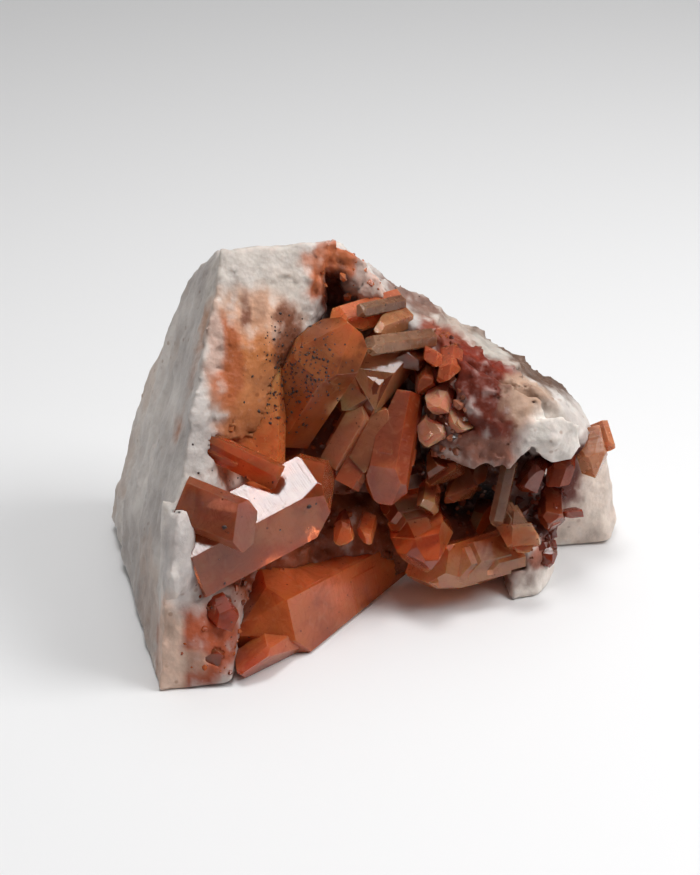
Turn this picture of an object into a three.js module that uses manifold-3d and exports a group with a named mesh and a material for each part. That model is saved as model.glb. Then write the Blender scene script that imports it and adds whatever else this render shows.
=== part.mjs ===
// Hematoid quartz in matrix: a block of milky quartz with an open pocket
// full of iron-stained quartz crystals, modelled at real size.
// Millimetres, +Z up, standing on Z = 0, centred on X = Y = 0.
// The pocket opens towards -Y; the tall wall is on the -X side.
import * as THREE from 'three';
import { ConvexGeometry } from 'three/addons/geometries/ConvexGeometry.js';
import { mergeVertices } from 'three/addons/utils/BufferGeometryUtils.js';
import Module from 'manifold-3d';

// ---------------------------------------------------------------- dimensions
const SOCKET_GAP = 0.35;      // clearance between a crystal and what it grew on
const RHOMB_ANGLE = 51.8;     // degrees, c-axis to the normal of a point face of quartz
const FLOOR_Z = 0;            // the surface that the specimen stands on

// The rock: convex lumps, each given by its corner points, that run into each other.
const MATRIX_LUMPS = {
  left_wall: [
    [-49.03, -42.51, 0], [-47.53, -39.49, 21.29], [-46.5, -36.49, 33.27], [-44.15, -30.49, 44.51],
    [-38.2, -23.49, 49.19], [-37.83, -17.49, 57.03], [-37.93, -10.49, 66.53], [-36.42, -2.49, 76.91],
    [-34, 8.51, 90.69], [-67.51, 27.68, 4], [-66.29, 28.51, 12.3], [-62.77, 31.51, 22.9],
    [-56.04, 34.51, 45.29], [-49.71, 35.51, 59.88], [-43.12, 33.51, 72.99], [-37.48, 28.51, 80.79],
    [-63.95, 40.51, 0], [-61.95, 42.51, 18], [-29.95, 42.51, 0], [-30.95, -35.49, 0], [-31.95, -27.49, 24],
    [-25.95, 16.51, 60], [-27.95, 22.51, 84],
  ],
  upper_wall: [
    [-34, 8.51, 90.69], [-24.89, 11.51, 90.89], [-15.89, 13.51, 90.77], [-8.75, 15.51, 89.61],
    [-36.42, -2.49, 76.91], [-37.73, -12.49, 62.28], [-36.81, -17.49, 52.98], [-19.66, -5.49, 47.39],
    [-17.92, 0.51, 60.62], [-14.52, 5.51, 71.56], [-11.66, 11.51, 79.32], [-12.12, 13.51, 85.8],
    [-27.95, 24.51, 84], [-9.95, 28.51, 84], [-29.95, 18.51, 40], [-15.95, 18.51, 40],
  ],
  top_rim: [
    [-15.89, 13.51, 90.77], [-8.75, 15.51, 89.87], [-4.67, 16.51, 87.85], [-1.04, 17.51, 83.69],
    [3.39, 17.51, 76.45], [6.36, 16.51, 70.96], [3.94, 17.51, 69.37], [-1.01, 17.51, 76.45],
    [-3.95, 16.51, 82.82], [-10.69, 14.51, 85.33], [-11.95, 30.51, 82], [-1.95, 32.51, 76],
    [8.05, 28.51, 68], [4.05, 32.51, 60],
  ],
  back: [
    [-51.95, 38.51, 0], [-49.95, 42.51, 24], [-39.95, 41.51, 58], [-25.95, 36.51, 78], [-7.95, 34.51, 82],
    [8.05, 32.51, 70], [30.05, 33.51, 54], [46.05, 32.51, 42], [50.05, 34.51, 10], [44.05, 36.51, 0],
    [-43.95, 18.51, 0], [-31.95, 16.51, 56], [-3.95, 22.51, 66], [20.05, 20.51, 50], [40.05, 18.51, 36],
    [40.05, 18.51, 0], [-3.95, 16.51, 0], [-3.95, 20.51, 40],
  ],
  ridge: [
    [4.3, 28.51, 74.78], [11.17, 30.51, 70.79], [18.88, 31.51, 65.83], [23.02, 30.51, 61.23],
    [27.62, 28.51, 57.12], [35.54, 27.51, 54.77], [44.63, 26.51, 49.54], [49.74, 24.51, 46.26],
    [54.81, 21.51, 41.79], [57.7, 17.51, 37.6], [6.31, 14.51, 71.94], [13.12, 11.51, 68.54],
    [20.46, 9.51, 64.09], [26.64, 8.51, 60.2], [34.04, 7.51, 56.85], [41.56, 7.51, 53.5],
    [48.09, 8.51, 48.44], [54.38, 10.51, 38.12], [13.44, 10.51, 49.6], [25.69, 4.51, 44.45],
    [38.17, 4.51, 41.59], [48.66, 7.51, 36.38], [54.05, 20.51, 22], [36.05, 32.51, 22], [6.05, 34.51, 40],
    [48.05, 28.51, 20],
  ],
  crust: [
    [14.59, 6.51, 59.6], [20.77, 5.51, 63.98], [27.39, 1.51, 61.72], [34.84, 1.51, 56.78],
    [42.36, 2.51, 53.45], [14.36, -1.49, 45.07], [18.01, -3.49, 42], [27.66, -6.49, 40.1],
    [35.08, -5.49, 38.93], [40.13, -1.49, 42.24], [43.67, 0.51, 48.14], [24.94, -3.49, 54.57],
    [32.23, -4.49, 50.99], [21.49, -4.49, 46.81], [30.05, 14.51, 36], [16.05, 14.51, 40], [40.05, 12.51, 36],
  ],
  white_knob: [
    [38.86, -1.49, 48.44], [41.65, -1.49, 50.96], [47.09, -0.49, 50.95], [52.13, 1.51, 47.29],
    [53.46, 1.51, 41.62], [50.71, -0.49, 38.8], [45.6, -2.49, 38.85], [42.05, -2.49, 41.12],
    [39.39, -2.49, 45.65], [45.96, -4.49, 46.81], [48.05, 10.51, 40], [46.05, 10.51, 34],
  ],
  right_block: [
    [49.08, 16.51, 25.72], [55.49, 20.51, 28.74], [62.84, 24.51, 26.39], [65.58, 26.51, 16.63],
    [67.51, 26.51, 4.11], [65.2, 21, 1], [57.24, 20.59, 0], [48.68, 20.11, 0], [63.21, 28.51, 27.7],
    [66.05, 34.51, 0], [39.05, 35.51, 0], [62.05, 36.51, 24], [44.05, 14.51, 22], [37.05, 17.51, 0],
  ],
  foot: [
    [37.17, -1.49, 8.11], [41.55, -0.49, 13.82], [47.74, 3.51, 9.06], [48.8, 3.51, 3.52],
    [46.14, 0.51, -0.02], [43.74, -3.56, 0], [37.23, -5.34, 0], [35.8, -0.49, 0.04], [36.05, 12.51, 0],
    [48.05, 16.51, 0], [36.05, 14.51, 22], [46.05, 14.51, 22],
  ],
  wedge: [
    [-49.03, -42.51, 0], [-47.55, -40.49, 19.16], [-41.39, -37.49, 21.02], [-36.59, -35.49, 15.01],
    [-32.97, -35.49, 9.78], [-31.95, -41.25, 2], [-33.76, -39.8, 0], [-44.37, -41.35, 0],
    [-38.14, -31.49, 18.55], [-29.95, -27.49, 0], [-27.95, -25.49, 22],
  ],
  bed: [
    [-33.95, -31.49, 0], [-35.95, -29.49, 12], [-35.85, -20.19, 13.5], [-25.35, -5.49, 12],
    [-15.85, 6.11, 10], [-3.55, 15.81, 7], [-35.65, -10.49, 23], [-23.25, 5.31, 24], [-11.15, 18.81, 23],
    [9.46, 5.51, 5.27], [11.57, 5.51, 2.17], [10.05, 9.51, 5], [12.05, 10.51, 3], [-11.95, -9.49, 2],
    [-23.95, -21.49, 0], [16.05, 22.51, 0], [16.05, 20.51, 26], [-31.95, 18.51, 30], [-33.95, 18.51, 0],
  ],
  left_lip: [
    [-47.23, -41.49, 23.83], [-45.06, -40.99, 36.27], [-43.23, -36.49, 44.22], [-40.72, -32.49, 45.76],
    [-40.47, -35.49, 40.87], [-41.21, -38.49, 34.6], [-44.15, -41.49, 25.52], [-47.95, -31.49, 22],
    [-47.95, -27.49, 44], [-37.95, -29.49, 24],
  ],
  back_fill: [
    [-55.95, 35.51, 40], [-49.95, 36.51, 56], [-42.95, 34.51, 70], [-36.95, 29.51, 79], [-27.95, 25.51, 83],
    [-11.95, 30.51, 82], [-7.95, 34.51, 80], [-25.95, 37.51, 76], [-39.95, 41.51, 56], [-49.95, 42.51, 24],
    [-60.95, 42.51, 16], [-53.95, 28.51, 20], [-33.95, 20.51, 60], [-19.95, 22.51, 70],
  ],
  saddle: [
    [-1.95, 32.51, 74], [8.05, 28.51, 66], [4.25, 28.51, 73.5], [11.05, 30.51, 69.5], [6.35, 16.51, 70],
    [4.05, 18.51, 69], [8.05, 32.51, 68], [6.05, 22.51, 58], [16.05, 20.51, 58], [0.05, 24.51, 64],
    [18.05, 30.51, 62],
  ],
  pocket_back: [
    [-33.95, 0.51, 28], [-33.95, 4.51, 50], [-11.95, 7.51, 54], [2.05, 9.51, 54], [11.05, 11.51, 48],
    [15.05, 10.51, 28], [-33.95, 20.51, 28], [15.05, 20.51, 28], [-31.95, 20.51, 58], [12.05, 20.51, 56],
    [-11.95, -0.49, 28], [4.05, 4.51, 26],
  ],
  niche_back: [
    [-13.95, 17.51, 64], [-13.95, 20.51, 84], [-1.95, 21.51, 82], [4.05, 21.51, 72], [6.05, 20.51, 62],
    [-7.95, 17.51, 60], [-11.95, 26.51, 80], [0.05, 28.51, 76], [4.05, 28.51, 64], [-13.95, 26.51, 62],
  ],
  right_back: [
    [12.05, 12.51, 4], [12.05, 16.51, 34], [42.05, 8.51, 36], [46.05, 12.51, 12], [40.05, 6.51, 8],
    [26.05, 6.51, 8], [42.05, 24.51, 0], [12.05, 24.51, 0], [40.05, 14.51, 0],
  ],
};

// The crystals. base and tip are the ends of the c-axis. face is the outward
// direction of the first prism face. d gives the six prism faces' distances from
// the axis, in turn round it; t gives how far each of the six point faces stands
// past the tip; top is where the point is broken off, measured from the tip.
// breaks are flat fractures that take off a side, such as one that it stands on.
const CRYSTALS = {
  mirror: { base: [-43.61, -27.47, 27.4], tip: [-5.6, -7.4, 38.94], face: [0, -0.5, 0.866],
    d: [10.5, 10.2, 10, 10.5, 10, 9.5], t: [2.5, 3, -1, 3, 2, 2.5], top: 0 },
  slab: { base: [-43.36, -28.49, 44.9], tip: [-22.97, -32.49, 37.56], face: [0.251, -0.902, 0.351],
    d: [2.8, 5.2, 5.4, 2.8, 5, 5.2], t: [1, 3, 2, 3, 2, 2], top: -0.5 },
  rod: { base: [-40.04, -14.99, 52.78], tip: [-19.25, -20.49, 45.19], face: [0.204, -0.764, 0.612],
    d: [2.9, 3.1, 3, 2.9, 3.1, 3], t: [1, 2, 1, 2, 1, 2], top: -1.2 },
  bed_c: { base: [-24.93, -24.49, 26.7], tip: [-26.07, -31.49, 26.55], face: [0, -0.866, 0.5],
    d: [2, 2, 2, 2, 2, 2], t: [0, 1.2, 0, 1.2, 0, 1.2], top: 0 },
  floor_a: { base: [5.97, 16.39, 0], tip: [-32.28, -32.26, 8.5], face: [0.766, -0.545, 0.342],
    d: [9.5, 9.5, 17, 15, 14, 14], t: [0.4, 0.6, -0.6, 1.5, 2, 1], top: 0,
    breaks: [{ normal: [0, 0, -1], through: [-3.95, 8.51, 0] }, { normal: [0.521, -0.371, -0.769], through: [-24.27, -43.12, 0.75] }] },
  floor_b: { base: [-1.89, 2.34, -2.6], tip: [-29.87, -40.61, 4.7], face: [0.766, -0.545, 0.342],
    d: [4.75, 4.9, 4.7, 4.6, 6, 7], t: [0.6, -0.4, 0.6, 1, 1, 1], top: 0,
    breaks: [{ normal: [0, 0, -1], through: [-3.95, 8.51, 0] }, { normal: [0.521, -0.371, -0.769], through: [-24.27, -43.12, 0.75] }] },
  bed_a: { base: [-3.45, -3.49, 23.8], tip: [-6.15, -13.49, 23.5], face: [-0.516, -0.817, 0.258],
    d: [3.12, 2.77, 2.14, 2.28, 2.41, 2.44], t: [-0.6, 1.46, 1.87, 0.38, 0.43, -0.7], top: 0 },
  bed_b: { base: [0.55, -1.49, 22.53], tip: [-0.99, -10.49, 21.84], face: [-0.359, -0.915, 0.185],
    d: [2.5, 1.76, 1.61, 2.63, 2.17, 1.75], t: [0.48, -0.71, 0.45, 1.49, 1.22, 0.84], top: 0 },
  speckled: { base: [-20.76, 5.51, 45.58], tip: [-4.42, -0.49, 76.7], face: [-0.298, -0.844, 0.447],
    d: [7.6, 8, 7.6, 8, 7.8, 8.2], t: [-2, 1, 4, 2, 2, -1], top: 0 },
  blade_b: { base: [-5.9, -9.49, 33.95], tip: [5.55, 1.51, 52.06], face: [-0.199, -0.845, 0.497],
    d: [2.9, 3.8, 3.4, 3, 3.4, 3.6], t: [2.5, 1, 3, 1, 2.5, 1], top: 0 },
  hanging: { base: [9.03, 5.51, 54.04], tip: [3.82, -11.49, 33.19], face: [-0.316, -0.895, 0.316],
    d: [5, 5.4, 5.2, 5, 5.4, 5.2], t: [-1, 1, 2, 2, 2, 1], top: 0 },
  blade_a: { base: [-9.33, -4.49, 38.33], tip: [-0.05, 2.51, 53.18], face: [-0.303, -0.808, 0.505],
    d: [3.2, 3.8, 3.4, 3, 3.4, 3.6], t: [2, 1, 3, 1, 2, 1], top: 0 },
  diamond: { base: [7.41, 14.51, 62.06], tip: [-7.07, -4.49, 53.48], face: [0.1, -0.796, 0.597],
    d: [5.5, 6.5, 6, 6, 6, 6], t: [-1, 3, 1, 2, 1, 0], top: 0 },
  dark_a: { base: [12.11, 14.51, 61.5], tip: [8.59, 1.51, 61.72], face: [0.277, -0.637, 0.72],
    d: [3.02, 2.95, 3.47, 3.25, 2.59, 3.63], t: [-0.68, 0.27, 1.33, -0.57, 0.49, -0.93], top: 0 },
  peach: { base: [-28.06, -9.09, 43.34], tip: [-27.06, 11.71, 80.82], face: [0.121, -0.856, 0.503],
    d: [4.2, 7.6, 7, 5, 6.5, 7], t: [1, 3, 2, 3, 2, 3], top: 0 },
  peach_b: { base: [-34.62, -10.69, 53.14], tip: [-30.69, 0.51, 68.75], face: [0.4, -0.799, 0.449],
    d: [3.2, 3.2, 3, 3, 3, 3], t: [0, 1.2, 0, 1.2, 0, 1.2], top: 0 },
  front_mid: { base: [8.28, 10.51, 25.16], tip: [17.57, -16.49, 17.59], face: [0.205, -0.717, 0.666],
    d: [6.6, 7.2, 6.8, 6.6, 6.8, 6.8], t: [2, 3, 1, 3, -1, 1], top: 0 },
  pale_bottom: { base: [40.19, 0.51, 12.25], tip: [9.97, -11.49, 11.24], face: [0.1, -0.5, 0.86],
    d: [6, 5.8, 6, 6, 5.8, 6], t: [-2, 2, 2, 2, -1, 0], top: 0 },
  clear: { base: [35.07, 2.51, 22.97], tip: [40.58, -12.49, 18.74], face: [0.212, -0.636, 0.742],
    d: [4, 4.2, 4, 4, 4.2, 4], t: [-1, 1, 1, 1, 1, 1], top: 0 },
  stick: { base: [35.57, 0.51, 37.63], tip: [32.15, -4.49, 21.49], face: [0.206, -0.928, 0.309],
    d: [1.8, 2, 1.8, 1.8, 2, 1.8], t: [0, 1.2, 0, 1.2, 0, 1.2], top: 0 },
  knob_c: { base: [16.17, 4.51, 27.65], tip: [14.93, -8.99, 27.88], face: [0, -0.866, 0.5],
    d: [2.6, 2.6, 2.4, 2.6, 2.4, 2.4], t: [0, 1.2, 0, 1.2, 0, 1.2], top: 0 },
  back_b: { base: [31.42, 10.51, 19.46], tip: [28.16, -2.49, 17.82], face: [-0.539, -0.842, 0.022],
    d: [3.12, 3.13, 2.62, 3.53, 2.55, 2.56], t: [-0.44, -0.61, 0.02, -1, -1.19, -0.65], top: 0 },
  wedge_o: { base: [7.89, 19.51, 71.68], tip: [-9.74, 7.51, 71.63], face: [0, -0.503, 0.865],
    d: [3.4, 3.6, 3.4, 3.4, 3.6, 3.4], t: [0, 1.2, 0, 1.2, 0, 1.2], top: 0 },
  needle_a: { base: [8.81, 17.51, 73.19], tip: [-2.51, 5.51, 76.38], face: [0, -0.406, 0.914],
    d: [1.4, 1.7, 1.4, 1.4, 1.7, 1.4], t: [0, 1.2, 0, 1.2, 0, 1.2], top: 0 },
  cream: { base: [9.58, 16.51, 69.32], tip: [0.38, 5.51, 71.03], face: [0, -0.6, 0.8],
    d: [2.6, 2.8, 2.6, 2.6, 2.8, 2.6], t: [0, 1.2, 0, 1.2, 0, 1.2], top: 0 },
  needle_b: { base: [16.14, 12.51, 65.84], tip: [-1.09, 0.51, 69.55], face: [0, -0.406, 0.914],
    d: [1.9, 2.3, 2, 1.9, 2.3, 2], t: [0, 1.2, 0, 1.2, 0, 1.2], top: 0 },
  rim_a: { base: [17.14, 12.51, 65.29], tip: [16.27, 1.51, 63.36], face: [0.403, -0.842, 0.358],
    d: [2.24, 2.37, 2.74, 1.9, 2.47, 2.09], t: [-0.59, -0.75, 1.19, -0.56, -0.23, 0.16], top: 0 },
  rim_b: { base: [21.29, 10.51, 62.47], tip: [20.1, -0.49, 60.61], face: [-0.354, -0.729, 0.586],
    d: [2.69, 3.14, 3.05, 3.11, 2.32, 2.5], t: [0.07, 1.56, 1.77, -0.52, -0.45, -0.29], top: 0 },
  sugar_b: { base: [23.8, 8.51, 48.44], tip: [22.9, -7.49, 51.31], face: [0.351, -0.804, 0.48],
    d: [3.33, 4.13, 4.78, 4.03, 3.67, 4.83], t: [-1.2, 2.21, -0.18, -0.79, -0.91, -0.1], top: 0 },
  sugar_a: { base: [19.81, 10.51, 52.99], tip: [17.06, -6.49, 56.79], face: [-0.203, -0.947, 0.248],
    d: [3.7, 3.34, 4.39, 3.18, 4.15, 3.79], t: [-1.21, 0.77, -1.3, 0.44, -1.16, -1.07], top: 0 },
  sugar_c: { base: [17.92, 8.51, 45.6], tip: [14.63, -6.49, 47.41], face: [0.533, -0.777, 0.335],
    d: [3.95, 3.44, 3.78, 2.86, 2.85, 3.13], t: [1.38, 0.38, -0.08, 1.01, 0.48, -0.13], top: 0 },
  dark_b: { base: [15.33, 12.51, 57.53], tip: [13.7, 0.51, 57.32], face: [0.22, -0.367, 0.904],
    d: [3.24, 2.46, 2.99, 2.85, 2.83, 2.65], t: [1.49, 1.8, 0.41, 0.97, -0.8, 1.08], top: 0 },
  knob_a: { base: [20.54, 6.51, 36.97], tip: [17.28, -6.49, 36.68], face: [0.027, -0.999, 0.04],
    d: [4.76, 4.24, 4.77, 3.8, 3.58, 4.84], t: [2.94, 2.34, 2.13, 2.19, 1.84, -0.48], top: 0 },
  knob_b: { base: [24.66, 6.51, 32.9], tip: [22.41, -5.49, 29.74], face: [-0.331, -0.791, 0.515],
    d: [2.64, 3.09, 3.06, 3.84, 4.31, 3.4], t: [2.28, 2.47, 2.35, 0.12, -0.43, -0.4], top: 0 },
  back_a: { base: [28.23, 8.51, 34.63], tip: [25.95, 0.51, 29.52], face: [0.383, -0.44, 0.812],
    d: [2.38, 2.02, 2.6, 2.53, 2.81, 3.35], t: [1.05, 0.54, 0.84, 1.01, -0.82, 1.66], top: 0 },
  red_a: { base: [44.35, 16.51, 27.52], tip: [40.45, -0.49, 31.88], face: [0.315, -0.693, 0.648],
    d: [3.98, 3.88, 3.26, 3.56, 3.81, 2.59], t: [1.17, 2.06, 1.6, 1.49, 0.52, -0.55], top: 0 },
  red_b: { base: [49.87, 12.51, 32.27], tip: [48.62, 2.51, 28.29], face: [0.679, -0.632, 0.374],
    d: [3.74, 2.85, 2.85, 3.7, 3.36, 2.5], t: [-0.67, -0.59, 1.86, 1.54, -0.61, 1.61], top: 0 },
  red_d: { base: [47.7, 14.51, 19.09], tip: [46.72, 0.51, 18.28], face: [0.028, -0.927, 0.374],
    d: [3.06, 3.35, 2.83, 4.23, 3.23, 3.42], t: [0.95, 2.16, 0.33, 2.21, 0.64, 0.75], top: 0 },
  red_c: { base: [46.18, 10.51, 21.57], tip: [55.72, 5.51, 19.89], face: [-0.246, -0.817, 0.522],
    d: [3.48, 2.75, 2.54, 4.22, 3.66, 3.44], t: [2.21, 0.37, 1.98, 1.81, -0.45, -0.3], top: 0 },
  red_f: { base: [44.3, 6.51, 11.37], tip: [47.2, -0.49, 7.44], face: [-0.042, -0.475, 0.879],
    d: [2.99, 2.63, 2.7, 2.97, 3.18, 2.54], t: [0.79, 0.49, 0.51, 1.02, 0.34, 0.57], top: 0 },
  red_e: { base: [47.86, 14.51, 11.13], tip: [45.43, 4.51, 10.85], face: [0.08, -0.954, 0.287],
    d: [1.87, 1.66, 2.58, 1.85, 2.2, 2.49], t: [0.54, -0.02, 0.45, 0.54, 1.09, -0.55], top: 0 },
  pale_r: { base: [55.7, 17.51, 37.01], tip: [58.69, 8.51, 26.38], face: [0.211, -0.475, 0.854],
    d: [4.29, 4.41, 3.14, 3.7, 4.41, 4.22], t: [-0.76, -0.82, 0.42, -1.01, -0.36, -1.01], top: 0 },
  pale_r2: { base: [59.6, 20.51, 37.07], tip: [61.55, 14.51, 31.97], face: [-0.44, -0.751, 0.493],
    d: [1.59, 2.16, 2.1, 1.58, 2.32, 2.41], t: [-0.24, 1.3, 0.14, 0.32, 1.38, 1.05], top: 0 },
  low_left: { base: [-36.24, -31.49, 18.55], tip: [-31.8, -37.49, 13.56], face: [0.309, -0.722, 0.619],
    d: [3.4, 3.6, 3.4, 3.4, 3.6, 3.4], t: [0, 1.2, 0, 1.2, 0, 1.2], top: 0 },
  low_left_b: { base: [-37.89, -33.49, 8.91], tip: [-35.31, -41.99, 6.39], face: [0, -0.866, 0.5],
    d: [2.6, 2.6, 2.6, 2.6, 2.6, 2.6], t: [0, 1.2, 0, 1.2, 0, 1.2], top: 0 },
};

// What comes apart as one piece: crystals that grew through each other are one
// solid. The list is in order of growth: a later piece stops against earlier ones.
const PIECES = [
  { name: 'mirror_face_crystal', crystals: ['mirror', 'slab', 'rod', 'bed_c'], color: '#a8653f', roughness: 0.22 },
  { name: 'floor_crystals', crystals: ['floor_a', 'floor_b'], color: '#a45c33', roughness: 0.25 },
  { name: 'bed_crystals', crystals: ['bed_a', 'bed_b'], color: '#a45c33', roughness: 0.3 },
  { name: 'speckled_crystal', crystals: ['speckled'], color: '#9a5a3a', roughness: 0.35 },
  { name: 'blade_crystals', crystals: ['blade_b', 'hanging', 'blade_a'], color: '#a55a35', roughness: 0.25 },
  { name: 'slanted_crystal', crystals: ['diamond', 'dark_a'], color: '#96563a', roughness: 0.28 },
  { name: 'wall_crystal', crystals: ['peach', 'peach_b'], color: '#cf9f7c', roughness: 0.4 },
  { name: 'front_crystals', crystals: ['front_mid', 'pale_bottom', 'clear', 'stick', 'knob_c', 'back_b'], color: '#a85e38', roughness: 0.25 },
  { name: 'roof_needles', crystals: ['wedge_o', 'needle_a', 'cream', 'needle_b', 'rim_a', 'rim_b'], color: '#b98365', roughness: 0.35 },
  { name: 'sugary_crystals', crystals: ['sugar_b', 'sugar_a', 'sugar_c', 'dark_b'], color: '#8c5643', roughness: 0.4 },
  { name: 'knob_crystals', crystals: ['knob_a', 'knob_b', 'back_a'], color: '#7f4630', roughness: 0.3 },
  { name: 'red_crystal_top', crystals: ['red_a'], color: '#6d2f22', roughness: 0.3 },
  { name: 'red_crystal_side', crystals: ['red_b'], color: '#6d2f22', roughness: 0.3 },
  { name: 'red_crystal_pair', crystals: ['red_d', 'red_c'], color: '#6d2f22', roughness: 0.3 },
  { name: 'red_crystal_small_pair', crystals: ['red_f', 'red_e'], color: '#74362a', roughness: 0.3 },
  { name: 'pale_crystals', crystals: ['pale_r', 'pale_r2'], color: '#b79483', roughness: 0.35 },
  { name: 'corner_crystal', crystals: ['low_left'], color: '#99533a', roughness: 0.3 },
  { name: 'corner_crystal_small', crystals: ['low_left_b'], color: '#99533a', roughness: 0.3 },
];
const MATRIX = { name: 'matrix', color: '#cfc4bf', roughness: 0.6 };

// ---------------------------------------------------------------- helpers
const wasm = await Module();
wasm.setup();

const vec = (p) => new THREE.Vector3(p[0], p[1], p[2]);

// three.js geometry to a solid that can be joined and cut
function toSolid(geometry) {
  let g = geometry.clone();
  g.deleteAttribute('normal');
  g.deleteAttribute('uv');
  g = mergeVertices(g, 1e-5);
  return new wasm.Manifold(new wasm.Mesh({
    numProp: 3,
    vertProperties: new Float32Array(g.attributes.position.array),
    triVerts: new Uint32Array(g.index.array),
  }));
}

function toGeometry(solid) {
  const m = solid.getMesh();
  const g = new THREE.BufferGeometry();
  const n = m.numProp;
  const pos = new Float32Array((m.vertProperties.length / n) * 3);
  for (let i = 0; i < pos.length / 3; i += 1) {
    pos[3 * i] = m.vertProperties[n * i];
    pos[3 * i + 1] = m.vertProperties[n * i + 1];
    pos[3 * i + 2] = m.vertProperties[n * i + 2];
  }
  g.setAttribute('position', new THREE.BufferAttribute(pos, 3));
  g.setIndex(Array.from(m.triVerts));
  g.computeVertexNormals();
  return g;
}

// the biggest body of a solid that cutting may have split
function mainBody(solid) {
  const bodies = solid.decompose();
  let best = bodies[0];
  for (const b of bodies) if (b.volume() > best.volume()) best = b;
  return best;
}

// The flat faces of one crystal: six prism faces, six point faces, a broken base
// and a top, each as an outward normal and a distance from the origin.
function crystalPlanes(c, grow) {
  const base = vec(c.base);
  const tip = vec(c.tip);
  const axis = tip.clone().sub(base).normalize();
  const e1 = vec(c.face);
  e1.addScaledVector(axis, -e1.dot(axis)).normalize();
  const e2 = new THREE.Vector3().crossVectors(axis, e1);
  const planes = [];
  const slope = THREE.MathUtils.degToRad(RHOMB_ANGLE);
  for (let k = 0; k < 6; k += 1) {
    const a = (k * Math.PI) / 3;
    const m = e1.clone().multiplyScalar(Math.cos(a)).addScaledVector(e2, Math.sin(a));
    planes.push([m, m.dot(base) + c.d[k] + grow]);
    const r = m.clone().multiplyScalar(Math.sin(slope)).addScaledVector(axis, Math.cos(slope));
    planes.push([r, r.dot(tip) + c.t[k] + grow]);
  }
  planes.push([axis.clone().negate(), -axis.dot(base) + grow]);
  planes.push([axis.clone(), axis.dot(tip) + c.top + grow]);
  for (const b of c.breaks ?? []) {
    const n = vec(b.normal).normalize();
    planes.push([n, n.dot(vec(b.through)) + grow]);
  }
  return planes;
}

// corner points of the space inside a set of planes
function corners(planes) {
  const points = [];
  const n = planes.length;
  for (let i = 0; i < n; i += 1) {
    for (let j = i + 1; j < n; j += 1) {
      for (let k = j + 1; k < n; k += 1) {
        const [a, da] = planes[i];
        const [b, db] = planes[j];
        const [c, dc] = planes[k];
        const bc = new THREE.Vector3().crossVectors(b, c);
        const det = a.dot(bc);
        if (Math.abs(det) < 1e-6) continue;
        const p = bc.multiplyScalar(da)
          .addScaledVector(new THREE.Vector3().crossVectors(c, a), db)
          .addScaledVector(new THREE.Vector3().crossVectors(a, b), dc)
          .divideScalar(det);
        if (planes.some(([m, d]) => m.dot(p) > d + 1e-6)) continue;
        if (points.some((q) => q.distanceTo(p) < 1e-4)) continue;
        points.push(p);
      }
    }
  }
  return points;
}

const crystalSolid = (name, grow) => toSolid(
  new ConvexGeometry(corners(crystalPlanes(CRYSTALS[name], grow))),
);
const join = (solids) => solids.reduce((a, b) => a.add(b));

// ---------------------------------------------------------------- the pieces
const specimen = new THREE.Group();
specimen.name = 'hematoid_quartz_in_matrix';

function place(spec, solid) {
  const mesh = new THREE.Mesh(
    toGeometry(solid),
    new THREE.MeshStandardMaterial({
      color: spec.color, roughness: spec.roughness, metalness: 0,
    }),
  );
  mesh.name = spec.name;
  specimen.add(mesh);
}

// crystals first: each keeps clear of those that grew before it
let grown = null;
for (const piece of PIECES) {
  let solid = join(piece.crystals.map((n) => crystalSolid(n, 0)));
  if (grown) solid = mainBody(solid.subtract(grown));
  place(piece, solid);
  const room = join(piece.crystals.map((n) => crystalSolid(n, SOCKET_GAP)));
  grown = grown ? grown.add(room) : room;
}

// the rock: all the lumps in one, with a socket for each crystal
const lumps = Object.values(MATRIX_LUMPS).map(
  (points) => toSolid(new ConvexGeometry(points.map((p) => vec([p[0], p[1], Math.max(p[2], FLOOR_Z)])))),
);
place(MATRIX, mainBody(join(lumps).subtract(grown)));

export default specimen;
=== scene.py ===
# Hematoid quartz in matrix: the looks. Tables are in millimetres, in the part's frame;
# meshes are made in metres.
import math
import itertools
import bpy
import bmesh
import numpy as np
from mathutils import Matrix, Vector
from mathutils.bvhtree import BVHTree


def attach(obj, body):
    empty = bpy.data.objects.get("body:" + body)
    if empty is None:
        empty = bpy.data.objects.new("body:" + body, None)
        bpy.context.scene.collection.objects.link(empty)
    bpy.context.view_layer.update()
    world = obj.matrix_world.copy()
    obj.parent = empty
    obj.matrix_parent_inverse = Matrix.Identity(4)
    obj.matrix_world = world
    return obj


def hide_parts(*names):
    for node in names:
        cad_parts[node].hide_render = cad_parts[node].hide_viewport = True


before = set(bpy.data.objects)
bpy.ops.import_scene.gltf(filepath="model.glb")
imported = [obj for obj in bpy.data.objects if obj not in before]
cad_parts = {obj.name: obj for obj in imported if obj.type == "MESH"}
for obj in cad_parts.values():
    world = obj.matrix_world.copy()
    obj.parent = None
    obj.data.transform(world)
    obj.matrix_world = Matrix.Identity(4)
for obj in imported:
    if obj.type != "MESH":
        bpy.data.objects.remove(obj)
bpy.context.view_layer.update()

MM = 0.001

# ------------------------------------------------------------------ dimensions
CAMERA = [-3.95, -402.85, 277.5]

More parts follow.
